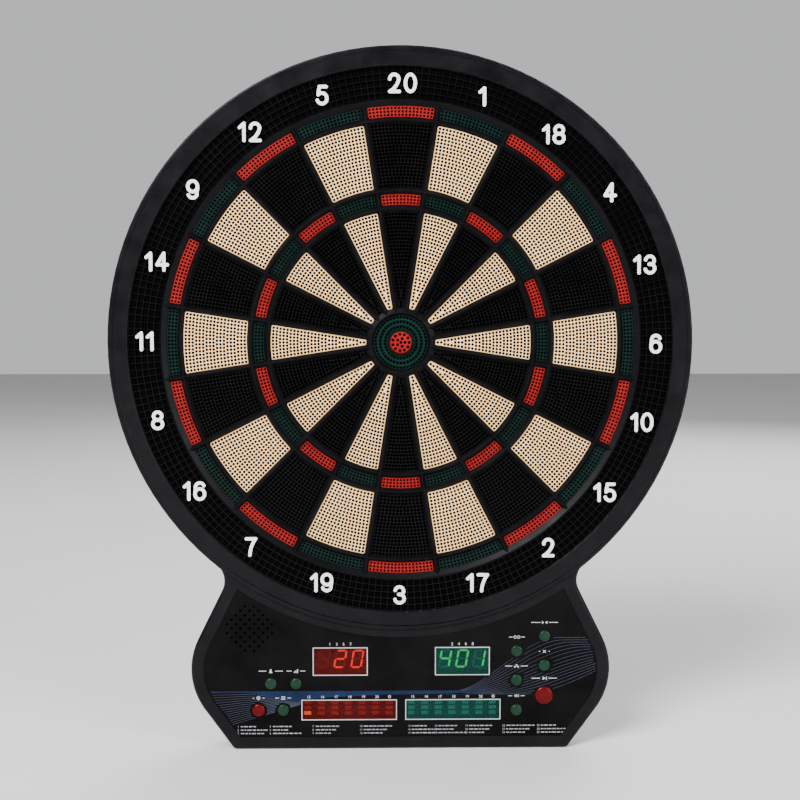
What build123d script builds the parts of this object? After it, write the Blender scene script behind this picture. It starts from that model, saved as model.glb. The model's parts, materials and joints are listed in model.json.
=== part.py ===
from build123d import *
import math
import os

# Electronic dartboard, in millimetres.
#
# Each piece is drawn with the board lying on its back: x to the right, y up the board and
# z out of the wall towards the player. Heights above the wall are called h. save() turns the
# piece up, so that the finished part hangs on a wall in the XZ plane and faces -Y. The
# origin is on the wall, straight behind the bull.

# ---------------------------------------------------------------- case
CASE_R = 214.5              # round body of the case
SHOULDER = (165.2, -249.2)  # widest corner of the console, before rounding
FOOT = (124.9, -304.8)      # bottom corner of the console
FLANK = (111.0, -140.0)     # the console's flank starts here, inside the round body
SHOULDER_R = 52.0
NECK_R = 16.0
FOOT_R = 4.0
SEAM_H = 8.0                # seam between the rear cover and the front housing
CONSOLE_H = 27.0            # front of the console's frame
CONSOLE_EDGE_R = 3.0
PLATE_H = 23.2              # back of the console's front plate
WALL = 2.2
TONGUE = 1.6                # rear cover's tongue, which stands inside the housing's wall
SKIN = 2.0                  # rear cover's back skin

# ---------------------------------------------------------------- bezel
BEZEL_H = 30.0
BEZEL_IN_R = 199.5
BEZEL_CREST_R = 209.7
LEDGE_R = 211.0
LEDGE_H = 28.6
BEZEL_BACK_H = 27.0

# ---------------------------------------------------------------- target
NUMBERS = (20, 1, 18, 4, 13, 6, 10, 15, 2, 17, 3, 19, 7, 16, 8, 11, 14, 9, 12, 5)
PITCH = 360 / len(NUMBERS)
SEGMENT_BANDS = ((163.4, 171.5), (112.9, 159.2), (100.2, 108.1), (25.5, 95.4))
SPOKE_GAP = 2.2             # from the middle of a spoke to the edge of a segment
SEGMENT_CORNER_R = 1.0
SEGMENT_FACE_H = 26.2
SEGMENT_BACK_H = 15.2
FLANGE_OUT = 0.9
FLANGE_H = 16.0
BULL_R = 8.2
OUTER_BULL_R = 20.2
OUTER_BULL_LIP_R = 9.9
LIP_H = 27.2

SPIDER_BACK_H = 16.2
RIDGE_H = 28.2
RIDGE_FLAT = 0.35           # half the width of the flat on top of a ridge
CELL_GAP = 0.2              # between a segment and the spider
SPIDER_CIRCLES = (97.8, 110.5, 161.3)
BULL_CIRCLE_R = 21.9
RIM_SLOPE_R = 175.0
RIM_R = 175.8
RIM_H = 28.6
STACK_R = 190.0             # outside of the spider's flange and of the backing board
STACK_SCREW_R = 186.0
STACK_SCREWS = 10

CATCH_IN_R = 176.1
CATCH_OUT_R = 202.6
NUMERAL_R = 187.2
NUMERAL_TURN = 0.3          # the numbers sit a little clockwise of the wedges
NUMERAL_H = 29.1

# ---------------------------------------------------------------- switch stack, from the front
MAT_H = (12.6, 14.0)
UPPER_FILM_H = (12.35, 12.6)
SPACER_FILM_H = (12.1, 12.35)
LOWER_FILM_H = (11.85, 12.1)
BACKING_H = (8.85, 11.85)
MAT_R = 176.0
TAIL_X = 28.0
TAIL_WIDTH = 22.0
TAIL_SOCKET_Y = -220.5

# ---------------------------------------------------------------- console
FASCIA_BORDER = 9.6
FASCIA_ARC_R = 219.6
FASCIA_H = (25.6, 26.4)
FASCIA_GAP = 0.15
SCORE_WINDOW = (41.0, 21.4)
MARKS_WINDOW = (71.4, 15.6)
SCORE_AT = ((-45.3, -238.1), (46.0, -238.1))
MARKS_AT = ((-38.7, -274.9), (39.0, -274.9))
WINDOW_H = 26.3
WINDOW_FLANGE = 1.1
WINDOW_FLANGE_H = (23.4, 25.5)
DISPLAY_H = (19.4, 23.3)
DIGIT_PITCH = 12.7          # of the score displays
DIGIT_LIFT = 1.2            # from a score window's middle up to the middle of its digits
MARK_PITCH = (10.2, 4.0)    # between columns and between rows of the marks displays
MARK_BAR = (5.2, 2.7)
MARK_SHIFT = (-0.7, 0.8)    # from a marks window's middle to the middle of its bars

SPEAKER_AT = (-112.7, -212.8)
SPEAKER_R = 18.0
SPEAKER_HOLE_R = 0.95
SPEAKER_PITCH = 3.35        # half the pitch of a row, and the distance between rows

BUTTON_SMALL_R = 4.4
BUTTON_GAME_R = 4.9
BUTTON_START_R = 6.8
BUTTONS = {
    "score_button": (-97.2, -254.8, BUTTON_SMALL_R),
    "handicap_button": (-78.4, -254.8, BUTTON_SMALL_R),
    "game_button": (-106.5, -274.9, BUTTON_GAME_R),
    "option_button": (-88.0, -274.9, BUTTON_SMALL_R),
    "match_button": (107.4, -219.4, BUTTON_SMALL_R),
    "double_button": (86.7, -230.6, BUTTON_SMALL_R),
    "miss_button": (107.4, -241.6, BUTTON_SMALL_R),
    "team_button": (86.6, -252.8, BUTTON_SMALL_R),
    "start_button": (107.4, -264.6, BUTTON_START_R),
    "sound_button": (86.6, -275.5, BUTTON_SMALL_R),
}
BUTTON_GAP = 0.25
BUTTON_TOP_H = 28.0
BUTTON_DOME = 0.8
BUTTON_FLANGE_OUT = 1.4
BUTTON_FLANGE_H = (22.1, 23.0)
MAT_SHEET_H = (19.4, 20.2)
DOME_TOP_H = 20.8

BOARD_H = (17.8, 19.4)
BOARD_SCREWS = ((-114.0, -286.0), (114.0, -286.0), (-82.0, -228.5), (84.0, -213.5), (0.0, -232.0))

# ---------------------------------------------------------------- power
CELL_R = 7.1
CELL_LENGTH = 50.0
CELL_PITCH = 15.0
BAY_AT = (0.0, -265.0)
BAY = (56.0, 46.0)
BAY_TOP_H = 16.4
BAY_WALL = 1.2
DOOR = (60.0, 50.0)
DOOR_H = (0.2, 1.8)
DOOR_TRAVEL = 8.0
DOOR_PAD_H = 4.0
DOOR_GAP = 0.3
JACK_X = 90.0
JACK_H = 12.5
JACK_BORE_R = 2.75
JACK_DEPTH = 9.0
JACK_BODY = (9.0, 13.0, 9.0)

# ---------------------------------------------------------------- fastenings
KEYHOLE_X = 100.0
KEYHOLE_Y = 120.0
KEYHOLE_R = 4.75
KEYHOLE_SLOT_R = 2.4
KEYHOLE_RISE = 9.0
CASE_SCREW_R = 206.5
CONSOLE_SCREWS = ((125.0, -190.0), (146.0, -243.0), (128.0, -288.0), (62.0, -298.5))
BOSS_R = 3.4
SCREW_HOLE_R = 1.5
SCREW_SHANK_R = 1.45
SCREW_HEAD_R = 2.8
SCREW_HEAD_H = (1.2, 3.2)
COUNTERBORE_R = 3.3
SMALL_SHANK_R = 1.2
SMALL_HOLE_R = 1.25
SMALL_HEAD_R = 2.4
SMALL_HEAD = 1.6

MIRRORED = (-1, 1)


# ---------------------------------------------------------------- helpers
def plate(sketch, low, high):
    """A sketch raised from one height to another."""
    return Pos(0, 0, low) * extrude(sketch, high - low)


def disc(radius, low, high, x=0.0, y=0.0):
    return plate(Pos(x, y) * Circle(radius), low, high)


def ring(inner, outer, low, high, x=0.0, y=0.0):
    return plate(Pos(x, y) * (Circle(outer) - Circle(inner)), low, high)


def block(width, height, low, high, x=0.0, y=0.0):
    return plate(Pos(x, y) * Rectangle(width, height), low, high)


def turned(*points):
    """A ring turned about the bull's axis from (radius, height) points."""
    return revolve(Plane.XZ * make_face(Polyline(*points, close=True)), Axis.Z, 360)


def corner(sketch, x, y):
    """The corner of a sketch that lies nearest to a point."""
    return sketch.vertices().sort_by_distance((x, y, 0))[0]


def on_circle(radius, degrees):
    """A point at an angle clockwise from the top of the board."""
    angle = math.radians(degrees)
    return radius * math.sin(angle), radius * math.cos(angle)


def group(pieces):
    """Separate solids that share one node."""
    solids = [solid for piece in pieces for solid in piece.solids()]
    return Compound(children=solids)


def save(name, part):
    part.label = name
    export_step(part.rotate(Axis.X, 90), f"parts/{name}.step")


# ---------------------------------------------------------------- case outlines
def console_outline():
    shoulder_x, shoulder_y = SHOULDER
    foot_x, foot_y = FOOT
    flank_x, flank_y = FLANK
    right = [(flank_x, flank_y), (shoulder_x, shoulder_y), (foot_x, foot_y)]
    left = [(-x, y) for x, y in reversed(right)]
    outline = make_face(Polyline(*right, *left, close=True))
    for side in MIRRORED:
        outline = fillet(corner(outline, side * shoulder_x, shoulder_y), SHOULDER_R)
        outline = fillet(corner(outline, side * foot_x, foot_y), FOOT_R)
    return outline


def case_outline(inset=0.0):
    """Round body and console in one outline, with the necks between them rounded."""
    outline = Circle(CASE_R) + console_outline()
    necks = outline.vertices().sort_by(Axis.Y)[-2:]
    outline = fillet(necks, NECK_R)
    return offset(outline, -inset) if inset else outline


def fascia_outline(inset=0.0):
    return offset(console_outline(), -FASCIA_BORDER - inset) - Circle(FASCIA_ARC_R + inset)


def window_places():
    """Centre and size of the four windows: both scores, then both rows of marks."""
    places = [(x, y, *SCORE_WINDOW) for x, y in SCORE_AT]
    places += [(x, y, *MARKS_WINDOW) for x, y in MARKS_AT]
    return places


def speaker_hole_places():
    """Staggered rows of holes that fill a circle over the speaker."""
    reach = int(SPEAKER_R / SPEAKER_PITCH)
    cx, cy = SPEAKER_AT
    places = []
    for row in range(-reach, reach + 1):
        for column in range(-reach, reach + 1):
            x = column * SPEAKER_PITCH
            y = row * SPEAKER_PITCH
            if (row + column) % 2 == 0 and math.hypot(x, y) < SPEAKER_R - 0.9:
                places.append((cx + x, cy + y))
    return places


def case_screw_places():
    ring_places = [on_circle(CASE_SCREW_R, 30 * step) for step in range(12)]
    console_places = [(side * x, y) for side in MIRRORED for x, y in CONSOLE_SCREWS]
    return ring_places + console_places


def stack_screw_places():
    return [on_circle(STACK_SCREW_R, (step + 0.5) * 360 / STACK_SCREWS) for step in range(STACK_SCREWS)]


# ---------------------------------------------------------------- case
def front_housing():
    console = plate(case_outline(), SEAM_H, CONSOLE_H)
    front_edges = console.faces().sort_by(Axis.Z)[-1].outer_wire().edges()
    console = fillet(front_edges, CONSOLE_EDGE_R)

    profile = make_face(Polyline(
        (BEZEL_IN_R, SEAM_H), (CASE_R, SEAM_H), (CASE_R, LEDGE_H), (LEDGE_R, LEDGE_H),
        (BEZEL_CREST_R, BEZEL_H), (BEZEL_IN_R, BEZEL_H), close=True))
    profile = fillet(corner(profile, CASE_R, LEDGE_H), 1.5)
    profile = fillet(corner(profile, BEZEL_IN_R, BEZEL_H), 1.0)
    bezel = revolve(Plane.XZ * profile, Axis.Z, 360)

    body = console + bezel
    body -= disc(BEZEL_IN_R, SEAM_H - 1, BEZEL_H + 1)
    body -= disc(CASE_R - WALL, SEAM_H - 1, BEZEL_BACK_H)
    body -= plate(case_outline(WALL), SEAM_H - 1, PLATE_H)
    body -= plate(fascia_outline(), FASCIA_H[0], BEZEL_H)

    bosses = []
    for x, y in case_screw_places():
        top = BEZEL_BACK_H if math.hypot(x, y) < CASE_R else PLATE_H
        bosses.append(disc(BOSS_R, SEAM_H, top + 0.1, x, y))
    for x, y in BOARD_SCREWS:
        bosses.append(disc(3.0, BOARD_H[1], PLATE_H + 0.1, x, y))
    bosses.append(ring(SPEAKER_R + 0.2, SPEAKER_R + 1.6, 19.5, PLATE_H + 0.1, *SPEAKER_AT))
    body = body.fuse(*bosses)

    cuts = [disc(SCREW_HOLE_R, SEAM_H - 1, 17, x, y) for x, y in case_screw_places()]
    cuts += [disc(SMALL_HOLE_R, BOARD_H[1] - 1, 22.6, x, y) for x, y in BOARD_SCREWS]
    cuts += [disc(r + BUTTON_GAP, PLATE_H - 1, BEZEL_H, x, y) for x, y, r in BUTTONS.values()]
    cuts += [disc(SPEAKER_HOLE_R, PLATE_H - 1, BEZEL_H, x, y) for x, y in speaker_hole_places()]
    grow = 2 * (WINDOW_FLANGE + FASCIA_GAP)
    cuts += [block(w + grow, t + grow, PLATE_H - 1, BEZEL_H, x, y) for x, y, w, t in window_places()]
    jack_mouth = Plane((JACK_X, FOOT[1] - 1, JACK_H), z_dir=(0, 1, 0))
    cuts.append(jack_mouth * Cylinder(4.2, 2 * WALL + 2, align=(Align.CENTER, Align.CENTER, Align.MIN)))
    return body.cut(*cuts)


def keyhole(x, y):
    """A round hole for a screw's head with a narrow slot above it."""
    slot = Rectangle(2 * KEYHOLE_SLOT_R, KEYHOLE_RISE)
    outline = Pos(x, y) * Circle(KEYHOLE_R)
    outline += Pos(x, y + KEYHOLE_RISE / 2) * slot
    outline += Pos(x, y + KEYHOLE_RISE) * Circle(KEYHOLE_SLOT_R)
    return plate(outline, -1, SKIN + 1)


def rear_cover():
    shell = plate(case_outline(0.6), 0, SEAM_H)
    back_edges = shell.faces().sort_by(Axis.Z)[0].outer_wire().edges()
    shell = fillet(back_edges, 1.5)
    hollow = plate(case_outline(0.6 + WALL), SKIN, SEAM_H + 1)
    tongue = plate(case_outline(WALL + 0.3) - case_outline(WALL + 0.3 + TONGUE), SKIN, SEAM_H + 2)
    reliefs = [disc(BOSS_R + 0.7, SEAM_H, SEAM_H + 3, x, y) for x, y in case_screw_places()]
    reliefs.append(block(JACK_BODY[0] + 1, 12, SEAM_H, SEAM_H + 3, JACK_X, FOOT[1] + 4))
    tongue = tongue.cut(*reliefs)
    body = (shell - hollow) + tongue

    ribs = [ring(radius - 0.9, radius + 0.9, SKIN - 0.1, BACKING_H[0]) for radius in (60.0, 120.0, 180.0)]
    for step in range(10):
        spoke = block(1.8, 119.0, SKIN - 0.1, BACKING_H[0], 0, 120.0)
        ribs.append(Rot(0, 0, -18 - 36 * step) * spoke)
    for x, y in case_screw_places():
        ribs.append(disc(4.5, SKIN - 0.1, SEAM_H, x, y))

    bay_x, bay_y = BAY_AT
    bay_w, bay_t = BAY
    ribs.append(block(DOOR[0] + 8, DOOR[1] + 2 * DOOR_TRAVEL + 6, SKIN - 0.1, DOOR_PAD_H, bay_x, bay_y))
    ribs.append(block(bay_w + 2 * BAY_WALL, bay_t + 2 * BAY_WALL, SKIN, BAY_TOP_H + BAY_WALL, bay_x, bay_y))
    body = body.fuse(*ribs)

    cuts = [disc(1.75, -1, SEAM_H + 3, x, y) for x, y in case_screw_places()]
    cuts += [disc(COUNTERBORE_R, -1, SCREW_HEAD_H[1], x, y) for x, y in case_screw_places()]
    cuts += [keyhole(side * KEYHOLE_X, KEYHOLE_Y) for side in MIRRORED]
    cuts.append(block(bay_w, bay_t, -1, BAY_TOP_H, bay_x, bay_y))
    door_w, door_t = DOOR
    run = door_t + DOOR_TRAVEL + 2 * DOOR_GAP
    run_y = bay_y - DOOR_TRAVEL / 2
    cuts.append(block(door_w + 2 * DOOR_GAP, run, -1, DOOR_H[1] + 0.2, bay_x, run_y))
    cuts.append(block(door_w + 4 + 2 * DOOR_GAP, run, 0.9, DOOR_H[1] + 0.2, bay_x, run_y))
    return body.cut(*cuts)


def battery_door():
    bay_x, bay_y = BAY_AT
    door_w, door_t = DOOR
    panel = block(door_w, door_t, *DOOR_H, bay_x, bay_y)
    rail_x = door_w / 2 + 0.9
    rails = [block(2.2, door_t, 1.1, DOOR_H[1], bay_x + side * rail_x, bay_y) for side in MIRRORED]
    panel = panel.fuse(*rails)
    grooves = [block(22, 1.2, -1, 0.7, bay_x, bay_y + 14 + 2.6 * step) for step in range(4)]
    return panel.cut(*grooves)


def case_screws():
    screws = []
    for x, y in case_screw_places():
        head = disc(SCREW_HEAD_R, *SCREW_HEAD_H, x, y)
        shank = disc(SCREW_SHANK_R, SCREW_HEAD_H[0], 15.5, x, y)
        slots = [Pos(x, y) * Rot(0, 0, turn) * Box(3.0, 0.7, 2.0) for turn in (0, 90)]
        screws.append((head + shank).cut(*[Pos(0, 0, SCREW_HEAD_H[0]) * slot for slot in slots]))
    return group(screws)


def inner_screws():
    """Screws of the target's stack, and the shorter ones of the circuit board."""
    screws = []
    for x, y in stack_screw_places():
        head = disc(SMALL_HEAD_R, BACKING_H[0] - SMALL_HEAD, BACKING_H[0], x, y)
        screws.append(head + disc(SMALL_SHANK_R, BACKING_H[0] - 0.5, 22.0, x, y))
    for x, y in BOARD_SCREWS:
        head = disc(SMALL_HEAD_R, BOARD_H[0] - SMALL_HEAD, BOARD_H[0], x, y)
        screws.append(head + disc(SMALL_SHANK_R, BOARD_H[0] - 0.5, 22.0, x, y))
    return group(screws)


# ---------------------------------------------------------------- target
def segment_outline(inner, outer):
    """One segment of the 12 o'clock wedge. Its sides run parallel to the spokes."""
    half = math.radians(PITCH / 2)
    apex = SPOKE_GAP / math.sin(half)
    reach = 200.0
    half_width = (reach - apex) * math.tan(half)
    wedge = make_face(Polyline((0, apex), (half_width, reach), (-half_width, reach), close=True))
    outline = (Circle(outer) - Circle(inner)) & wedge
    return fillet(outline.vertices(), SEGMENT_CORNER_R)


def wedge_segments():
    """Double, outer single, treble and inner single of the 12 o'clock wedge."""
    segments = []
    for inner, outer in SEGMENT_BANDS:
        outline = segment_outline(inner, outer)
        body = plate(outline, SEGMENT_BACK_H, SEGMENT_FACE_H)
        flange = plate(offset(outline, FLANGE_OUT), SEGMENT_BACK_H, FLANGE_H)
        segments.append(body + flange)
    return segments


def bull_outer():
    body = turned(
        (BULL_R + 0.25, SEGMENT_BACK_H), (OUTER_BULL_R + FLANGE_OUT, SEGMENT_BACK_H),
        (OUTER_BULL_R + FLANGE_OUT, FLANGE_H), (OUTER_BULL_R, FLANGE_H),
        (OUTER_BULL_R, SEGMENT_FACE_H), (OUTER_BULL_LIP_R, SEGMENT_FACE_H),
        (BULL_R + 0.9, LIP_H), (BULL_R + 0.25, LIP_H))
    return body - disc(BULL_R + FLANGE_OUT + 0.3, SEGMENT_BACK_H - 1, FLANGE_H + 1.2)


def bull_inner():
    return disc(BULL_R, SEGMENT_BACK_H, LIP_H - 0.4) + disc(BULL_R + FLANGE_OUT, SEGMENT_BACK_H, FLANGE_H)


def ridge(foot_in, top, foot_out):
    """A circle of the spider: straight walls with a sharp ridge on top."""
    return turned(
        (foot_in, SPIDER_BACK_H), (foot_out, SPIDER_BACK_H), (foot_out, SEGMENT_FACE_H),
        (top + RIDGE_FLAT, RIDGE_H), (top - RIDGE_FLAT, RIDGE_H), (foot_in, SEGMENT_FACE_H))


def spider():
    doubles, outer_singles, trebles, inner_singles = SEGMENT_BANDS
    circles = [ridge(OUTER_BULL_R + CELL_GAP, BULL_CIRCLE_R, inner_singles[0] - CELL_GAP)]
    neighbours = (
        (inner_singles[1], trebles[0]), (trebles[1], outer_singles[0]), (outer_singles[1], doubles[0]))
    for (below, above), top in zip(neighbours, SPIDER_CIRCLES):
        circles.append(ridge(below + CELL_GAP, top, above - CELL_GAP))
    rim = turned(
        (doubles[1] + CELL_GAP, SPIDER_BACK_H), (STACK_R, SPIDER_BACK_H), (STACK_R, 18.8),
        (RIM_R, 18.8), (RIM_R, RIM_H), (RIM_SLOPE_R, RIM_H), (doubles[1] + CELL_GAP, SEGMENT_FACE_H))

    half = SPOKE_GAP - CELL_GAP
    section = make_face(Polyline(
        (-half, SPIDER_BACK_H), (half, SPIDER_BACK_H), (half, SEGMENT_FACE_H),
        (RIDGE_FLAT, RIDGE_H), (-RIDGE_FLAT, RIDGE_H), (-half, SEGMENT_FACE_H), close=True))
    start = Plane((0, BULL_CIRCLE_R + 1, 0), x_dir=(-1, 0, 0), z_dir=(0, 1, 0))
    spoke = extrude(start * section, RIM_SLOPE_R - BULL_CIRCLE_R - 1.5)
    spokes = [Rot(0, 0, PITCH * (step + 0.5)) * spoke for step in range(len(NUMBERS))]
    posts = [disc(3.6, BACKING_H[1], SPIDER_BACK_H + 0.5, x, y) for x, y in stack_screw_places()]
    body = rim.fuse(*circles, *spokes, *posts)
    return body.cut(*[disc(SMALL_HOLE_R + 0.3, BACKING_H[1] - 1, 20, x, y) for x, y in stack_screw_places()])


def catch_ring():
    body = turned(
        (CATCH_IN_R, 18.8), (CATCH_IN_R + 2.5, 18.8), (CATCH_IN_R + 2.5, 26.0), (197.0, 26.0),
        (197.0, 24.6), (CATCH_OUT_R, 24.6), (CATCH_OUT_R, 26.8), (BEZEL_IN_R - 0.3, 26.8),
        (BEZEL_IN_R - 0.3, RIM_H), (CATCH_IN_R, RIM_H))
    bosses = [disc(3.2, 18.8, 26.1, x, y) for x, y in stack_screw_places()]
    holes = [disc(SMALL_HOLE_R, 18, 25, x, y) for x, y in stack_screw_places()]
    return body.fuse(*bosses).cut(*holes)


# ---------------------------------------------------------------- numerals
DIGIT_W = 7.1               # between the middles of a digit's left and right strokes
DIGIT_H = 12.1              # between the middles of its top and bottom strokes
DIGIT_ONE_W = 3.2
DIGIT_SPACE = 4.5           # from the middle of one digit's right stroke to the next one's left
STROKE = 1.2                # half a stroke's width


def stroke(*edges):
    """A line of even width with round ends."""
    return make_face(Wire(edges).offset_2d(STROKE))


def loop(x, y, half_w, half_h):
    """A closed oval stroke."""
    outside = Ellipse(half_w + STROKE, half_h + STROKE)
    return Pos(x, y) * (outside - Ellipse(half_w - STROKE, half_h - STROKE))


def digit(value):
    w, h = DIGIT_W, DIGIT_H
    mid = w / 2
    if value == 0:
        return loop(mid, h / 2, mid, h / 2)
    if value == 1:
        flag = Line((0, h - 2.9), (DIGIT_ONE_W, h))
        return stroke(flag, Line((DIGIT_ONE_W, h), (DIGIT_ONE_W, 0)))
    if value == 2:
        top = ThreePointArc((0.2, h - 3.3), (mid - 0.1, h), (w - 0.3, h - 3.4))
        tail = ThreePointArc((w - 0.3, h - 3.4), (w - 1.6, 5.2), (0.2, 0))
        return stroke(top, tail) + stroke(Line((0.2, 0), (w, 0)))
    if value == 3:
        top = ThreePointArc((0.3, h - 2.6), (mid - 0.2, h), (w - 0.6, h - 3.1))
        waist = ThreePointArc((w - 0.6, h - 3.1), (w - 1.5, h - 5.1), (2.8, 6.4))
        belly = ThreePointArc((2.8, 6.4), (w - 1.0, 5.3), (w - 0.1, 3.4))
        foot = ThreePointArc((w - 0.1, 3.4), (mid - 0.2, 0), (0.1, 2.7))
        return stroke(top, waist) + stroke(belly, foot)
    if value == 4:
        slope = Line((5.0, h), (0.1, 3.8))
        bar = Line((0.1, 3.8), (w + 0.5, 3.8))
        return stroke(slope, bar) + stroke(Line((5.1, h), (5.1, 0)))
    if value == 5:
        flag = Line((w - 0.6, h), (1.6, h))
        back = Line((1.6, h), (0.7, 6.4))
        belly = ThreePointArc((0.7, 6.4), (3.4, 7.6), (w - 0.2, 3.9))
        foot = ThreePointArc((w - 0.2, 3.9), (mid - 0.2, 0), (0.1, 2.5))
        return stroke(flag, back) + stroke(belly, foot)
    if value == 6:
        top = ThreePointArc((w - 0.5, h - 2.1), (mid + 0.3, h), (0.6, h - 4.2))
        back = ThreePointArc((0.6, h - 4.2), (0.15, 6.0), (0.1, 3.9))
        return loop(mid, 3.85, mid - 0.05, 3.85) + stroke(top, back)
    if value == 7:
        leg = ThreePointArc((w - 0.1, h), (w - 3.0, 6.9), (w - 4.4, 0))
        return stroke(Line((0.2, h), (w - 0.1, h))) + stroke(leg)
    if value == 8:
        return loop(mid, 9.15, 3.0, 2.95) + loop(mid, 3.25, mid, 3.25)
    return Pos(w, h) * Rot(0, 0, 180) * digit(6)


def numerals():
    solids = []
    for step, number in enumerate(NUMBERS):
        figures = [int(character) for character in str(number)]
        widths = [DIGIT_ONE_W if figure == 1 else DIGIT_W for figure in figures]
        total = sum(widths) + DIGIT_SPACE * (len(figures) - 1)
        x, y = on_circle(NUMERAL_R, PITCH * step + NUMERAL_TURN)
        x -= total / 2
        for figure, width in zip(figures, widths):
            sketch = Pos(x, y - DIGIT_H / 2) * digit(figure)
            solids.append(plate(sketch, RIM_H, NUMERAL_H))
            x += width + DIGIT_SPACE
    return group(solids)


# ---------------------------------------------------------------- switch stack
def segment_centres():
    """The middle of every segment, where the films switch."""
    for inner, outer in SEGMENT_BANDS:
        for step in range(len(NUMBERS)):
            yield on_circle((inner + outer) / 2, PITCH * step)
    yield 0.0, 0.0


def spacer_film():
    film = disc(MAT_R, *SPACER_FILM_H)
    return film.cut(*[disc(2.0, 0, BEZEL_H, x, y) for x, y in segment_centres()])


def lower_film():
    """The lower film has a tab at each tail."""
    film = disc(MAT_R, *LOWER_FILM_H)
    tabs = [block(TAIL_WIDTH, 20, *LOWER_FILM_H, side * TAIL_X, -171.0) for side in MIRRORED]
    return film.fuse(*tabs)


def backing_board():
    board = disc(STACK_R, *BACKING_H)
    return board.cut(*[disc(SMALL_HOLE_R + 0.3, 0, BEZEL_H, x, y) for x, y in stack_screw_places()])


def matrix_tails():
    """Two flat tails from the lower film's tabs up to the front of the circuit board."""
    low = LOWER_FILM_H[0]
    high = BOARD_H[1]
    film = LOWER_FILM_H[1] - LOWER_FILM_H[0]
    lower = [(-181.0, low), (-200.0, low), (-211.0, high), (TAIL_SOCKET_Y - 1.5, high)]
    upper = [(TAIL_SOCKET_Y - 1.5, high + film), (-211.15, high + film),
             (-200.15, low + film), (-181.0, low + film)]
    section = Plane.YZ * make_face(Polyline(*lower, *upper, close=True))
    tails = []
    for side in MIRRORED:
        place = Pos(side * TAIL_X - TAIL_WIDTH / 2, 0, 0)
        tails.append(place * extrude(section, TAIL_WIDTH, dir=(1, 0, 0)))
    return group(tails)


# ---------------------------------------------------------------- console
def fascia_panel():
    outline = fascia_outline(FASCIA_GAP)
    for side in MIRRORED:
        outline = fillet(corner(outline, side * 120, -184), 2.0)
    for x, y, width, tall in window_places():
        outline -= Pos(x, y) * Rectangle(width + 2 * FASCIA_GAP, tall + 2 * FASCIA_GAP)
    for x, y, radius in BUTTONS.values():
        outline -= Pos(x, y) * Circle(radius + BUTTON_GAP)
    for x, y in speaker_hole_places():
        outline -= Pos(x, y) * Circle(SPEAKER_HOLE_R)
    return plate(outline, *FASCIA_H)


def window(place):
    x, y, width, tall = place
    face = block(width, tall, WINDOW_FLANGE_H[0], WINDOW_H, x, y)
    grow = 2 * WINDOW_FLANGE
    return face + block(width + grow, tall + grow, *WINDOW_FLANGE_H, x, y)


def seven_segment_bars():
    """Middle, size and turn of the seven bars of one digit, on its own centre."""
    long, thick, rise = 5.4, 1.5, 6.3
    across = [(0, rise * level, long, thick) for level in (-1, 0, 1)]
    upright = [(side * 3.6, rise * level / 2, thick, rise - thick) for side in MIRRORED for level in (-1, 1)]
    return across + upright


def score_displays():
    """Two blocks of three digits, with a light well for each bar."""
    blocks = []
    for x, y in SCORE_AT:
        body = block(SCORE_WINDOW[0] + 1.8, SCORE_WINDOW[1] + 1.8, *DISPLAY_H, x, y)
        wells = []
        for place in (-1, 0, 1):
            for bar_x, bar_y, width, tall in seven_segment_bars():
                middle = (x + DIGIT_PITCH * place + bar_x, y + DIGIT_LIFT + bar_y)
                wells.append(block(width, tall, DISPLAY_H[1] - 1, DISPLAY_H[1] + 1, *middle))
        blocks.append(body.cut(*wells))
    return group(blocks)


def marks_displays():
    """Two blocks of seven columns with three bars each."""
    blocks = []
    for x, y in MARKS_AT:
        body = block(MARKS_WINDOW[0] + 1.8, MARKS_WINDOW[1] + 1.8, *DISPLAY_H, x, y)
        wells = []
        for column in range(-3, 4):
            for row in (-1, 0, 1):
                middle_x = x + MARK_SHIFT[0] + MARK_PITCH[0] * column
                middle_y = y + MARK_SHIFT[1] + MARK_PITCH[1] * row
                wells.append(block(*MARK_BAR, DISPLAY_H[1] - 1, DISPLAY_H[1] + 1, middle_x, middle_y))
        blocks.append(body.cut(*wells))
    return group(blocks)


def button(x, y, radius):
    barrel = disc(radius, BUTTON_FLANGE_H[0], BUTTON_TOP_H, x, y)
    barrel = fillet(barrel.faces().sort_by(Axis.Z)[-1].edges(), BUTTON_DOME)
    return barrel + disc(radius + BUTTON_FLANGE_OUT, *BUTTON_FLANGE_H, x, y)


def main_board():
    outline = make_face(Polyline(
        (-120, -290), (119, -290), (119, -207), (76, -207), (76, -217), (-88, -217), (-88, -240),
        (-120, -240), close=True))
    for x, y in BOARD_SCREWS:
        outline -= Pos(x, y) * Circle(SMALL_HOLE_R + 0.3)
    board = plate(outline, *BOARD_H)
    back = BOARD_H[0]
    chips = [
        block(14, 14, back - 2, back, 70, -245),
        block(9, 6, back - 2, back, 92, -262),
        block(12, 5, back - 5, back, -70, -245),
        disc(3.2, back - 7, back, -52, -248),
        disc(3.2, back - 7, back, -60, -262),
    ]
    sockets = []
    for side in MIRRORED:
        place = (side * TAIL_X, TAIL_SOCKET_Y)
        socket = block(TAIL_WIDTH + 3, 3.6, BOARD_H[1], BOARD_H[1] + 2.6, *place)
        sockets.append(socket - block(TAIL_WIDTH + 0.4, 5, BOARD_H[1] - 1, BOARD_H[1] + 0.3, *place))
    return group([board, *chips, *sockets])


def dome_mat():
    """Silicone sheets over the board, one on each side, with a dome under each button."""
    left = block(38, 16, *MAT_SHEET_H, -93.0, -256.0) + block(32, 19, *MAT_SHEET_H, -98.0, -273.5)
    right = block(34, 58, *MAT_SHEET_H, 97.0, -253.0) + block(22, 14, *MAT_SHEET_H, 103.0, -218.0)
    domes = [disc(radius - 0.8, MAT_SHEET_H[1] - 0.1, DOME_TOP_H, x, y) for x, y, radius in BUTTONS.values()]
    return group([(left + right).fuse(*domes)])


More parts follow.
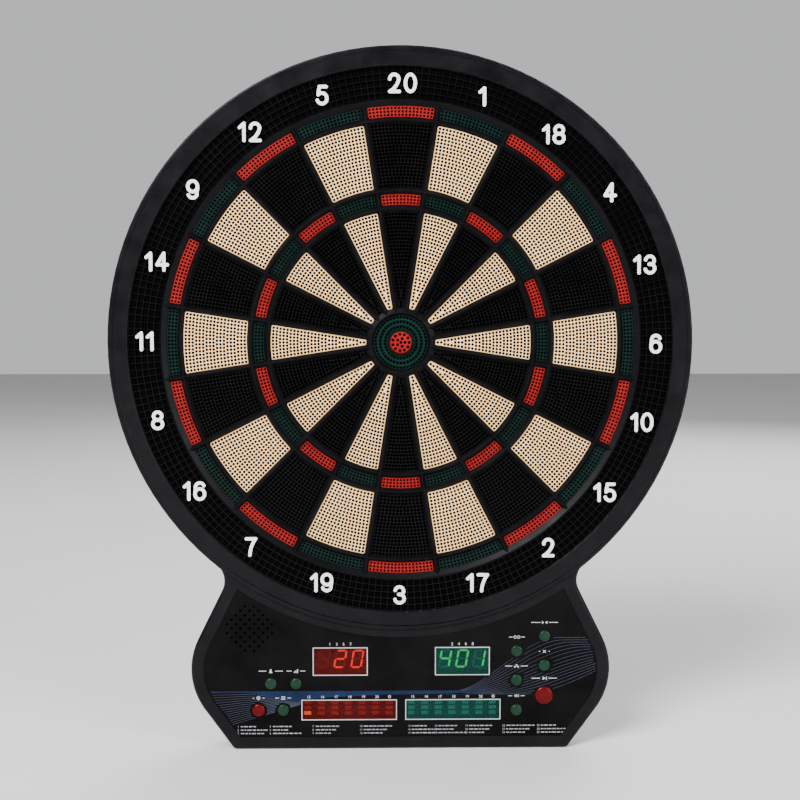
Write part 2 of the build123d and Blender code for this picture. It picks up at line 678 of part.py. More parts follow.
def speaker():
    x, y = SPEAKER_AT
    top = PLATE_H
    rim = ring(15.5, SPEAKER_R, top - 1.6, top, x, y)
    up = (Align.CENTER, Align.CENTER, Align.MIN)
    basket = Pos(x, y, top - 6.6) * Cone(9.5, SPEAKER_R - 0.6, 5.2, align=up)
    cone = Pos(x, y, top - 5.4) * Cone(4.0, 15.6, 5.5, align=up)
    magnet = disc(9.0, top - 11.5, top - 6.5, x, y)
    return (basket + rim + magnet) - cone


# ---------------------------------------------------------------- power
def battery_cells():
    """Three AA cells side by side, each lying across the bay with its nub at one end."""
    bay_x, bay_y = BAY_AT
    height = BAY_TOP_H - CELL_R - 0.2
    cells = []
    for step in (-1, 0, 1):
        turn = 90 if step % 2 == 0 else -90
        can = Cylinder(CELL_R, CELL_LENGTH - 1.2)
        nub = Pos(0, 0, CELL_LENGTH / 2) * Cylinder(2.7, 1.2)
        cells.append(Pos(bay_x, bay_y + step * CELL_PITCH, height) * Rot(0, turn, 0) * (can + nub))
    return group(cells)


def battery_contacts():
    """A sprung cone at each cell's flat end and a plate at its nub."""
    bay_x, bay_y = BAY_AT
    height = BAY_TOP_H - CELL_R - 0.2
    pieces = []
    for step in (-1, 0, 1):
        nub_side = 1 if step % 2 == 0 else -1
        y = bay_y + step * CELL_PITCH
        for side in MIRRORED:
            plate_x = bay_x + side * (BAY[0] / 2 - 0.25)
            strip = Pos(plate_x, y, height) * Box(0.5, 11, 11)
            if side != nub_side:
                tip = Pos(plate_x - side * 1.2, y, height) * Rot(0, -90 * side, 0) * Cone(4.0, 2.2, 2.0)
                strip = strip + tip
            pieces.append(strip)
    return group(pieces)


def dc_jack():
    width, deep, tall = JACK_BODY
    face_y = FOOT[1] + WALL + 0.2
    low = JACK_H - tall / 2
    body = block(width, deep, low, BOARD_H[0], JACK_X, face_y + deep / 2)
    collar = Plane((JACK_X, face_y - 1.6, JACK_H), z_dir=(0, 1, 0))
    bore = Plane((JACK_X, face_y - 1.7, JACK_H), z_dir=(0, 1, 0))
    up = (Align.CENTER, Align.CENTER, Align.MIN)
    body += collar * Cylinder(3.9, 2.0, align=up)
    return body - bore * Cylinder(JACK_BORE_R, JACK_DEPTH + 0.1, align=up)


def wire(*points):
    """A round wire along straight runs with rounded turns."""
    radius = 3.0
    path = FilletPolyline(*points, radius=radius)
    start = path @ 0
    return sweep(Plane(start, z_dir=path % 0) * Circle(0.6), path)


def wire_leads():
    """Speaker leads and battery leads, ending on the back of the circuit board."""
    back = BOARD_H[0]
    leads = []
    for shift in (0.0, 2.4):
        leads.append(wire((-104.4 + shift, -222.0 + shift, 17.9), (-104.4 + shift, -222.0 + shift, 11.0),
                          (-92.0 + shift, -246.0, 11.0), (-92.0 + shift, -246.0, back)))
        leads.append(wire((BAY[0] / 2 + BAY_WALL, -254.0 - shift, 10.0), (44.0, -254.0 - shift, 10.0),
                          (44.0, -254.0 - shift, back)))
    return group(leads)


# ---------------------------------------------------------------- the parts
def main():
    os.makedirs("parts", exist_ok=True)
    save("front_housing", front_housing())
    save("rear_cover", rear_cover())
    save("battery_door", battery_door())
    save("case_screws", case_screws())
    save("inner_screws", inner_screws())

    save("spider", spider())
    save("catch_ring", catch_ring())
    save("numerals", numerals())
    segments = wedge_segments()
    for step, number in enumerate(NUMBERS):
        save(f"segments_{number}", group([Rot(0, 0, -PITCH * step) * segment for segment in segments]))
    save("bull_outer", bull_outer())
    save("bull_inner", bull_inner())

    save("damper_mat", disc(MAT_R, *MAT_H))
    save("matrix_upper_film", disc(MAT_R, *UPPER_FILM_H))
    save("matrix_spacer_film", spacer_film())
    save("matrix_lower_film", lower_film())
    save("matrix_backing", backing_board())
    save("matrix_tails", matrix_tails())

    save("fascia_panel", fascia_panel())
    score_red, score_green, marks_red, marks_green = window_places()
    save("score_window_red", window(score_red))
    save("score_window_green", window(score_green))
    save("marks_window_red", window(marks_red))
    save("marks_window_green", window(marks_green))
    save("score_displays", score_displays())
    save("marks_displays", marks_displays())
    for name, (x, y, radius) in BUTTONS.items():
        save(name, button(x, y, radius))
    save("main_board", main_board())
    save("dome_mat", dome_mat())
    save("speaker", speaker())

    save("battery_cells", battery_cells())
    save("battery_contacts", battery_contacts())
    save("dc_jack", dc_jack())
    save("wire_leads", wire_leads())


main()
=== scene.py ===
"""Looks of the electronic dartboard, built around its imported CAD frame.

The frame is in metres: x to the player's right, z up, and the player stands on the -y side.
Shapes drawn here are given in millimetres as (x, z) outlines at a depth y, and Shell turns
them into metres.
"""

import json
import math

import bmesh
import bpy
from mathutils import Matrix, Vector
from mathutils.geometry import delaunay_2d_cdt

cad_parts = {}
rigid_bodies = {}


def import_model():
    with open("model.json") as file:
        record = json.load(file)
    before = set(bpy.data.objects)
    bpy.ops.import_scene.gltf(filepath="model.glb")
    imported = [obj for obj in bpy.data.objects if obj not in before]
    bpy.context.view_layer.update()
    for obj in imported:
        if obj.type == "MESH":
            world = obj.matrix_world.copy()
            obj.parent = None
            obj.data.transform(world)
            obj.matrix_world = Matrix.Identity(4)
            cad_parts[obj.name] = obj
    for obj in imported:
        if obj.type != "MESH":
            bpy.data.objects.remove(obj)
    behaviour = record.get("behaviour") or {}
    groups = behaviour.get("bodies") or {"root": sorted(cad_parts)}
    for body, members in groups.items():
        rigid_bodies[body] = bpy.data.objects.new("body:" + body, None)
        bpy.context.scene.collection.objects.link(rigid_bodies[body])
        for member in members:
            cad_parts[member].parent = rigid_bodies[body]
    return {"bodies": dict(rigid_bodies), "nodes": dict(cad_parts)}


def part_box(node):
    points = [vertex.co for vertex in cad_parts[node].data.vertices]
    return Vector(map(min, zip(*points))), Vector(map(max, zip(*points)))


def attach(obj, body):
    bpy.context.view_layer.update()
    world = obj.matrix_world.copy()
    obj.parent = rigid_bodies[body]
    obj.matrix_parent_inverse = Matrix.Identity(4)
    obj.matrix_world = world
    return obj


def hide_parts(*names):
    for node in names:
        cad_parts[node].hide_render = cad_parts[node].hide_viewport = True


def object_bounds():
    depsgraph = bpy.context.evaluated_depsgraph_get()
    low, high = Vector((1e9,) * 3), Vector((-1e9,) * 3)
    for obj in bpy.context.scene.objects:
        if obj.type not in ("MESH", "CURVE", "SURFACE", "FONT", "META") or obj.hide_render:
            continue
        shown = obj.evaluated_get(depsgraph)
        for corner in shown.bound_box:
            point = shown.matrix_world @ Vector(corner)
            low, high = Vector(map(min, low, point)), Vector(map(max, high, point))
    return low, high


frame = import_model()
cad_low, cad_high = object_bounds()

MM = 0.001
NUMBERS = (20, 1, 18, 4, 13, 6, 10, 15, 2, 17, 3, 19, 7, 16, 8, 11, 14, 9, 12, 5)
PITCH = 360 / len(NUMBERS)
BUTTON_BODIES = [name for name in frame["bodies"] if name.endswith("_key")]


def box_mm(node):
    """Lowest and highest corner of a CAD node, in millimetres."""
    low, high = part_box(node)
    return low / MM, high / MM


# ---------------------------------------------------------------- materials
NOISE_RANGE = (0.3, 0.7)    # most of a noise's values lie between these
TONE_STOPS = (0.32, 0.68)   # the darker tone below the first, the lighter above the second


def shader_of(name):
    made = bpy.data.materials.new(name)
    made.use_nodes = True
    tree = made.node_tree
    return made, tree, tree.nodes["Principled BSDF"]


def noise(tree, scale, detail=4.0, rough=0.6):
    """Noise over the object's own coordinates. The scale is in spots per metre."""
    place = tree.nodes.new("ShaderNodeTexCoord")
    spots = tree.nodes.new("ShaderNodeTexNoise")
    spots.inputs["Scale"].default_value = scale
    spots.inputs["Detail"].default_value = detail
    spots.inputs["Roughness"].default_value = rough
    tree.links.new(place.outputs["Object"], spots.inputs["Vector"])
    return spots.outputs["Fac"]


def spread(tree, source, low, high):
    """Maps the usual range of a noise onto low to high."""
    mapped = tree.nodes.new("ShaderNodeMapRange")
    mapped.inputs["From Min"].default_value = NOISE_RANGE[0]
    mapped.inputs["From Max"].default_value = NOISE_RANGE[1]
    mapped.inputs["To Min"].default_value = low
    mapped.inputs["To Max"].default_value = high
    tree.links.new(source, mapped.inputs["Value"])
    return mapped.outputs["Result"]


def two_tones(tree, source, dark, light):
    """Turns a noise into patches of two tones that run into each other."""
    ramp = tree.nodes.new("ShaderNodeValToRGB")
    ramp.color_ramp.elements[0].position = TONE_STOPS[0]
    ramp.color_ramp.elements[0].color = (*dark, 1)
    ramp.color_ramp.elements[1].position = TONE_STOPS[1]
    ramp.color_ramp.elements[1].color = (*light, 1)
    tree.links.new(source, ramp.inputs["Fac"])
    return ramp.outputs["Color"]


def surface(name, dark, light, rough, tone_scale=60.0, grain=2600.0, grain_depth=0.00002,
            grain_strength=0.35, rough_spread=0.06, metallic=0.0, coat=0.0, gloss=0.3):
    """A material with a slow change of tone, uneven gloss and a fine moulded grain."""
    made, tree, shader = shader_of(name)
    slow = noise(tree, tone_scale)
    fine = noise(tree, grain, detail=2.0)
    roughness = spread(tree, slow, rough - rough_spread, rough + rough_spread)
    tree.links.new(two_tones(tree, slow, dark, light), shader.inputs["Base Color"])
    tree.links.new(roughness, shader.inputs["Roughness"])
    bump = tree.nodes.new("ShaderNodeBump")
    bump.inputs["Strength"].default_value = grain_strength
    bump.inputs["Distance"].default_value = grain_depth
    tree.links.new(fine, bump.inputs["Height"])
    tree.links.new(bump.outputs["Normal"], shader.inputs["Normal"])
    shader.inputs["Metallic"].default_value = metallic
    shader.inputs["Specular IOR Level"].default_value = gloss
    shader.inputs["Coat Weight"].default_value = coat
    shader.inputs["Coat Roughness"].default_value = 0.06
    return made


def glowing(name, dark, light, strength):
    """A glowing material, a little brighter in places: the lit bars of the displays, and a painted glow
    on the display blocks and the unlit marks, which give off no light.
    """
    made, tree, shader = shader_of(name)
    spots = noise(tree, 900.0)
    colour = two_tones(tree, spots, dark, light)
    tree.links.new(colour, shader.inputs["Base Color"])
    tree.links.new(colour, shader.inputs["Emission Color"])
    shader.inputs["Emission Strength"].default_value = strength
    shader.inputs["Roughness"].default_value = 0.4
    return made


def tinted(name, dark, light, alpha):
    """A see-through coloured window with a gloss that isn't quite even."""
    made = surface(name, dark, light, 0.1, grain=700.0, grain_depth=0.000001,
                   grain_strength=0.03, rough_spread=0.03, gloss=0.08)
    made.node_tree.nodes["Principled BSDF"].inputs["Alpha"].default_value = alpha
    made.surface_render_method = "BLENDED"
    return made


CASE = surface("case_plastic", (0.0034, 0.0034, 0.0043), (0.0058, 0.0058, 0.0070), 0.34, gloss=0.11)
COVER = surface("cover_plastic", (0.012, 0.012, 0.014), (0.022, 0.022, 0.025), 0.58,
                grain=1300.0, grain_depth=0.00006, grain_strength=0.6)
SPIDER = surface("spider_plastic", (0.0026, 0.0026, 0.0033), (0.0044, 0.0044, 0.0054), 0.40,
                 gloss=0.07)
RING = surface("ring_plastic", (0.0020, 0.0020, 0.0024), (0.0032, 0.0032, 0.0038), 0.32, gloss=0.10)
BLACK = surface("target_black", (0.0012, 0.0012, 0.0015), (0.0022, 0.0022, 0.0026), 0.34, gloss=0.10)
CREAM = surface("target_cream", (0.94, 0.56, 0.25), (1.0, 0.65, 0.31), 0.50)
RED = surface("target_red", (0.16, 0.0028, 0.0028), (0.21, 0.0050, 0.0048), 0.42, gloss=0.2)
BULL_RED = surface("bull_red", (0.20, 0.0040, 0.0040), (0.26, 0.0065, 0.0065), 0.42, gloss=0.2)
GREEN = surface("target_green", (0.0007, 0.0064, 0.0050), (0.0012, 0.0105, 0.0082), 0.36, gloss=0.12)
# Painted highlight: the ribs are the same green plastic as the cells, drawn a lighter green where light
# catches their crests.
RIB_PAINTED_HIGHLIGHT = surface("bull_rib_painted_highlight", (0.0020, 0.028, 0.021), (0.0030, 0.040, 0.030), 0.36, gloss=0.2)
# Painted shade: the walls and floors of the holes and cells are darker than their plastic, to stand for
# the shade inside them; at the floors of the target's holes it also stands for the black foam behind.
HOLE_PAINTED_SHADE = surface("hole_painted_shade", (0.0005, 0.0005, 0.0005), (0.0010, 0.0010, 0.0010), 0.80, gloss=0.03)
NUMERAL = surface("numeral_white", (0.92, 0.92, 0.92), (0.97, 0.97, 0.97), 0.35)
PRINT = surface("print_white", (0.42, 0.42, 0.45), (0.54, 0.54, 0.57), 0.40)
BLUE = surface("print_blue", (0.0042, 0.0100, 0.032), (0.0080, 0.0180, 0.056), 0.35, gloss=0.1)
BLUE_THIN = surface("print_pale_blue", (0.027, 0.032, 0.052), (0.042, 0.048, 0.075), 0.35, gloss=0.1)
SMALL_PRINT = surface("print_grey", (0.22, 0.22, 0.24), (0.30, 0.30, 0.32), 0.40)
FASCIA = surface("fascia_gloss", (0.0005, 0.0005, 0.0007), (0.0040, 0.0038, 0.0040), 0.12,
                 tone_scale=22.0, grain=300.0, grain_depth=0.00001, grain_strength=0.15, gloss=0.07)
WINDOW_RED = tinted("window_red", (0.055, 0.002, 0.002), (0.075, 0.004, 0.003), 0.45)
WINDOW_GREEN = tinted("window_green", (0.002, 0.030, 0.022), (0.003, 0.042, 0.030), 0.45)
# Painted glow: the blocks behind the windows shine a little, standing in for the light that reaches
# them through the tinted windows.
DISPLAY_RED_PAINTED_GLOW = glowing("display_red_painted_glow", (0.030, 0.002, 0.002), (0.042, 0.003, 0.003), 0.9)
DISPLAY_GREEN_PAINTED_GLOW = glowing("display_green_painted_glow", (0.002, 0.018, 0.015), (0.003, 0.026, 0.022), 0.9)
LIT_RED = glowing("bar_lit_red", (1.0, 0.016, 0.008), (1.0, 0.024, 0.012), 2.6)
LIT_ORANGE = glowing("bar_lit_orange", (1.0, 0.07, 0.012), (1.0, 0.10, 0.02), 2.4)
LIT_GREEN = glowing("bar_lit_green", (0.008, 0.75, 0.10), (0.015, 0.90, 0.13), 1.7)
DIM_RED = surface("bar_dim_red", (0.26, 0.022, 0.018), (0.32, 0.028, 0.022), 0.5)
DIM_GREEN = surface("bar_dim_green", (0.010, 0.20, 0.14), (0.014, 0.26, 0.18), 0.5)
# Painted glow: the unlit marks shine a little, standing in for the light that reaches them through the
# tinted windows.
MARK_RED_PAINTED_GLOW = glowing("mark_red_painted_glow", (0.26, 0.016, 0.009), (0.31, 0.020, 0.012), 1.0)
MARK_GREEN_PAINTED_GLOW = glowing("mark_green_painted_glow", (0.010, 0.17, 0.13), (0.014, 0.21, 0.16), 1.0)
BUTTON_GREEN = surface("button_green", (0.006, 0.023, 0.012), (0.010, 0.033, 0.018), 0.28, gloss=0.12)
BUTTON_RED = surface("button_red", (0.066, 0.0014, 0.0018), (0.090, 0.0022, 0.0026), 0.28, gloss=0.12)
STEEL = surface("screw_steel", (0.30, 0.30, 0.31), (0.46, 0.46, 0.48), 0.34,
                grain=3500.0, metallic=1.0)
FOAM = surface("foam_black", (0.012, 0.012, 0.012), (0.03, 0.03, 0.03), 0.9,
               grain=1800.0, grain_depth=0.0001, grain_strength=0.8)
FILM = surface("film", (0.45, 0.47, 0.49), (0.62, 0.64, 0.66), 0.25)
BACKING = surface("backing_grey", (0.10, 0.10, 0.10), (0.16, 0.16, 0.16), 0.7)
BOARD = surface("board_green", (0.008, 0.075, 0.03), (0.014, 0.12, 0.05), 0.35, coat=0.3)
SILICONE = surface("silicone", (0.34, 0.34, 0.33), (0.46, 0.46, 0.44), 0.6)
SPEAKER = surface("speaker_metal", (0.02, 0.02, 0.02), (0.05, 0.05, 0.05), 0.45, metallic=0.4)
CELL = surface("cell_wrap", (0.03, 0.035, 0.05), (0.06, 0.07, 0.10), 0.3)
JACK = surface("jack_black", (0.008, 0.008, 0.008), (0.014, 0.014, 0.014), 0.4)
WIRE = surface("wire_red", (0.26, 0.010, 0.010), (0.36, 0.016, 0.016), 0.45)

NODE_MATERIALS = {
    "front_housing": CASE, "rear_cover": COVER, "battery_door": COVER, "case_screws": STEEL,
    "inner_screws": STEEL, "spider": SPIDER, "numerals": NUMERAL, "damper_mat": FOAM,
    "matrix_upper_film": FILM, "matrix_spacer_film": FILM, "matrix_lower_film": FILM,
    "matrix_tails": FILM, "matrix_backing": BACKING, "fascia_panel": FASCIA,
    "score_window_red": WINDOW_RED, "marks_window_red": WINDOW_RED,
    "score_window_green": WINDOW_GREEN, "marks_window_green": WINDOW_GREEN,
    "main_board": BOARD, "dome_mat": SILICONE, "speaker": SPEAKER, "battery_cells": CELL,
    "battery_contacts": STEEL, "dc_jack": JACK, "wire_leads": WIRE,
}
CASE_SHELLS = ("front_housing", "rear_cover")
SIDE_WALL = 0.05            # a case face whose normal has less than this along y is a side wall


def dress_cad_nodes():
    """Gives the CAD nodes their materials, and shades the case smooth on its side walls only."""
    for node, material in NODE_MATERIALS.items():
        mesh = frame["nodes"][node].data
        mesh.materials.clear()
        mesh.materials.append(material)
    for node in CASE_SHELLS:
        mesh = frame["nodes"][node].data
        if "custom_normal" in mesh.attributes:
            mesh.attributes.remove(mesh.attributes["custom_normal"])
        for face in mesh.polygons:
            face.use_smooth = abs(face.normal.y) < SIDE_WALL


# ---------------------------------------------------------------- outlines
CORNER_CUT = 0.28           # part of a square cell's side


def circle(radius, count, x=0.0, z=0.0):
    steps = [2 * math.pi * step / count for step in range(count)]
    return [(x + radius * math.cos(angle), z + radius * math.sin(angle)) for angle in steps]


def rectangle(width, tall, x=0.0, z=0.0):
    w, t = width / 2, tall / 2
    return [(x - w, z - t), (x + w, z - t), (x + w, z + t), (x - w, z + t)]


def cell(side, x, z, turn):
    """A square with its corners cut, turned clockwise by an angle about its middle."""
    half, cut = side / 2, side * CORNER_CUT
    corners = [(half - cut, -half), (half, cut - half), (half, half - cut), (half - cut, half),
               (cut - half, half), (-half, half - cut), (-half, cut - half), (cut - half, -half)]
    c, s = math.cos(turn), math.sin(turn)
    return [(x + u * c + v * s, z - u * s + v * c) for u, v in corners]


def area(loop):
    """The area of an outline, positive if it runs anticlockwise."""
    return sum(a[0] * b[1] - b[0] * a[1] for a, b in zip(loop, loop[1:] + loop[:1])) / 2


def inset(loop, by):
    """The loop with each point moved inwards along the middle of its two sides' normals."""
    moved = []
    for before, here, after in zip(loop[-1:] + loop[:-1], loop, loop[1:] + loop[:1]):
        first = (Vector(here) - Vector(before)).normalized()
        second = (Vector(after) - Vector(here)).normalized()
        normal = Vector((-first.y - second.y, first.x + second.x)).normalized()
        shift = by / max(0.5, normal.dot(Vector((-first.y, first.x))))
        moved.append((here[0] + normal.x * shift, here[1] + normal.y * shift))
    return moved


def depths(node):
    """The depths of a CAD node's flat steps in millimetres, from the player to the wall."""
    vertices = frame["nodes"][node].data.vertices
    return sorted({round(vertex.co.y / MM, 3) for vertex in vertices})


def cad_loops(node, depth):
    """Outlines of a CAD node's flat faces at a depth, the widest from the bull first."""
    mesh = frame["nodes"][node].data
    sides = set()
    for face in mesh.polygons:
        corners = [mesh.vertices[index].co / MM for index in face.vertices]
        if all(abs(corner.y - depth) < 0.002 for corner in corners):
            ends = [(round(corner.x, 3), round(corner.z, 3)) for corner in corners]
            sides.update(zip(ends, ends[1:] + ends[:1]))
    following = {a: b for a, b in sides if (b, a) not in sides}
    loops = []
    while following:
        start, point = min(following.items())
        del following[start]
        loop = [start]
        while point != start:
            loop.append(point)
            point = following.pop(point)
        loops.append(loop if area(loop) > 0 else loop[::-1])
    return sorted(loops, key=lambda loop: -max(math.hypot(*point) for point in loop))


def fill(loops):
    """Triangles between an outer loop and the loops of its holes, as indices of their points."""
    points = [Vector(point) for loop in loops for point in loop]
    rings = []
    start = 0
    for loop in loops:
        rings.append(list(range(start, start + len(loop))))
        start += len(loop)
    _, _, faces, sources, _, owners = delaunay_2d_cdt(points, [], rings, 1, 1e-6)
    kept = [face for face, owner in zip(faces, owners) if owner == [0]]
    return [[sources[index][0] for index in face] for face in kept]


# ---------------------------------------------------------------- meshes
class Shell:
    """A closed mesh in the making. Loops run anticlockwise as the player sees them."""

    def __init__(self):
        self.points = []
        self.faces = []
        self.tones = []

    def place(self, loop, depth):
        start = len(self.points)
        self.points.extend((x * MM, depth * MM, z * MM) for x, z in loop)
        return list(range(start, len(self.points)))

    def face(self, corners, tone=0):
        self.faces.append(corners)
        self.tones.append(tone)

    def wall(self, front_loop, front, back_loop, back, tone=0, inward=False):
        """Quads between two loops. They face out of the loops, or into them if inward."""
        near = self.place(front_loop, front)
        far = self.place(back_loop, back)
        for i in range(len(near)):
            j = (i + 1) % len(near)
            corners = [near[i], far[i], far[j], near[j]]
            self.face(corners[::-1] if inward else corners, tone)

    def cap(self, loop, depth, holes=(), tone=0, to_wall=False):
        """A flat face, towards the player or towards the wall."""
        rings = (loop, *holes)
        corners = self.place([point for ring in rings for point in ring], depth)
        flat = fill(rings) if holes else [range(len(loop))]
        for triangle in flat:
            face = [corners[index] for index in triangle]
            self.face(face[::-1] if to_wall else face, tone)

    def prism(self, loop, front, back, holes=(), tone=0):
        self.cap(loop, front, holes, tone)
        self.wall(loop, front, loop, back, tone)
        for hole in holes:
            self.wall(hole, front, hole, back, tone, inward=True)
        self.cap(loop, back, holes, tone, to_wall=True)

    def pocket(self, mouth, throat, front, step, bottom, tone=0):
        """A blind hole with a small bevel at its mouth. Its inside takes the next tone, the dark
        painted shade of a hole.
        """
        self.wall(mouth, front, throat, front + step, tone, inward=True)
        self.wall(throat, front + step, throat, bottom, tone + 1, inward=True)
        self.cap(throat, bottom, tone=tone + 1)

    def turned(self, profile, x, z, count, tone=0):
        """A solid of revolution about a line along y. The profile runs (radius, depth)
        from the middle of the front round to the middle of the back."""
        rings = [(circle(radius, count, x, z), depth) for radius, depth in profile if radius > 0]
        self.cap(rings[0][0], rings[0][1], tone=tone)
        for (loop, depth), (next_loop, next_depth) in zip(rings, rings[1:]):
            self.wall(loop, depth, next_loop, next_depth, tone)
        self.cap(rings[-1][0], rings[-1][1], tone=tone, to_wall=True)

    def mesh(self, name, materials, smooth_under=None):
        made = bpy.data.meshes.new(name)
        made.from_pydata(self.points, [], self.faces)
        for material in materials:
            made.materials.append(material)
        made.polygons.foreach_set("material_index", self.tones)
        tidy = bmesh.new()
        tidy.from_mesh(made)
        bmesh.ops.remove_doubles(tidy, verts=tidy.verts, dist=0.000001)
        tidy.to_mesh(made)
        tidy.free()
        if smooth_under:
            made.shade_smooth()
            made.set_sharp_from_angle(angle=math.radians(smooth_under))
        return made


def piece(name, mesh, body, stands_for=None, turn=0.0):
    """Places a mesh as a piece that rides a body, turned clockwise about the bull in degrees."""
    made = bpy.data.objects.new(name, mesh)
    bpy.context.scene.collection.objects.link(made)
    made.matrix_world = Matrix.Rotation(math.radians(turn), 4, "Y")
    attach(made, body)
    if stands_for:
        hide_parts(stands_for)
    return made


# ---------------------------------------------------------------- target
HOLE_R = 1.06
HOLE_SIDES = 10
CELL_SIDE = 1.55            # square holes of the doubles and trebles
HOLE_BEVEL = 0.06
HOLE_DEPTH = 6.0
EDGE_MARGIN = 1.6           # from a segment's edge to the middle of its first row
EDGE_BEVEL = 0.25
BANDS = ("double", "outer_single", "treble", "inner_single")
HOLE_COUNTS = {             # holes in each arc of a segment, the outermost arc first
    "double": [18] * 3,
    "outer_single": [17 - row // 3 for row in range(18)],
    "treble": [11] * 3,
    "inner_single": [round(10.2 - 0.36 * row) for row in range(27)],
}
BULL_SIDES = 120
BULL_RIBS = (13.4, 17.0)    # radii of the ribs between the rings of cells
BULL_RIB_HALF = 0.3
BULL_RIB_RISE = 0.35
BULL_CELL_RINGS = ((11.55, 30), (15.2, 38), (18.6, 46))     # radius and number of cells
BULL_CELL_SIDE = 1.7
BULL_CELL_BEVEL = 0.08
BULL_LIP = 0.65             # width of the flat top of the lip around the bull
EYE_SIDES = 96
EYE_CROWN = 0.7             # width and drop of the bull's rounded edge
EYE_CROWN_DROP = 0.35
EYE_CORNER = 0.15
EYE_HOLE_R = 1.05
EYE_HOLE_SIDES = 14
EYE_HOLE_BEVEL = 0.2
EYE_HOLE_RINGS = ((2.95, 5), (6.1, 11))                     # radius and number of holes
RING_COLUMNS = 240
RING_ROWS = 5
RING_RIDGE_HALF = 0.3
RING_CELL_DEPTH = 1.5
RING_SKIRT = 2.5            # thickness of the ring's inner wall behind its plate


def hole_rows(outline, counts, square):
    """Pockets in arcs about the bull, the outermost arc first, as (mouth, throat) loops."""
    reach = [math.hypot(*point) for point in outline]
    outer = max(reach) - EDGE_MARGIN
    step = (outer - min(reach) - EDGE_MARGIN) / (len(counts) - 1)
    lean = math.radians(PITCH / 2)
    spoke_gap = min(z * math.sin(lean) - x * math.cos(lean) for x, z in outline)
    pockets = []
    for row, count in enumerate(counts):
        radius = outer - row * step
        half = radius * lean - spoke_gap - EDGE_MARGIN
        for column in range(count):
            along = half * (2 * column / (count - 1) - 1) if count > 1 else 0.0
            angle = along / radius
            x, z = radius * math.sin(angle), radius * math.cos(angle)
            if square:
                mouth = cell(CELL_SIDE + 2 * HOLE_BEVEL, x, z, angle)
                throat = cell(CELL_SIDE, x, z, angle)
            else:
                mouth = circle(HOLE_R + HOLE_BEVEL, HOLE_SIDES, x, z)
                throat = circle(HOLE_R, HOLE_SIDES, x, z)
            pockets.append((mouth, throat))
    return pockets


def segment(outline, footprint, levels, pockets):
    """A segment: pierced face, bevelled edge, straight side and the flange behind it."""
    front, flange, back = levels
    shell = Shell()
    face_edge = inset(outline, EDGE_BEVEL)
    shell.cap(face_edge, front, [mouth for mouth, throat in pockets])
    shell.wall(face_edge, front, outline, front + EDGE_BEVEL)
    for mouth, throat in pockets:
        shell.pocket(mouth, throat, front, HOLE_BEVEL, front + HOLE_DEPTH)
    shell.wall(outline, front + EDGE_BEVEL, outline, flange)
    shell.cap(footprint, flange, [outline])
    shell.wall(footprint, flange, footprint, back)
    shell.cap(footprint, back, to_wall=True)
    return shell


def target_segments():
    """The wedge of 20 is drawn from its CAD outlines, and the other wedges turn from it."""
    first = f"segments_{NUMBERS[0]}"
    levels = depths(first)
    outlines = cad_loops(first, levels[0])
    footprints = cad_loops(first, levels[-1])
    meshes = {}
    for band, outline, footprint in zip(BANDS, outlines, footprints):
        square = band in ("double", "treble")
        shell = segment(outline, footprint, levels, hole_rows(outline, HOLE_COUNTS[band], square))
        for index, tone in enumerate((RED, GREEN) if square else (BLACK, CREAM)):
            meshes[band, index] = shell.mesh(f"{band}_{tone.name}", (tone, HOLE_PAINTED_SHADE))
    slots = {"double": ("target_red", "target_green"), "outer_single": ("target_black", "target_cream")}
    slots["treble"], slots["inner_single"] = slots["double"], slots["outer_single"]
    for step, number in enumerate(NUMBERS):
        index = step % 2
        for band in BANDS:
            made = piece(f"segment_{number}_{band}", meshes[band, index], f"wedge_{number}",
                         turn=PITCH * step)
            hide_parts(f"segments_{number}")


def widest(node, depth):
    """The largest x of each outline of a CAD node at a depth, the outermost outline first."""
    return [max(x for x, z in loop) for loop in cad_loops(node, depth)]


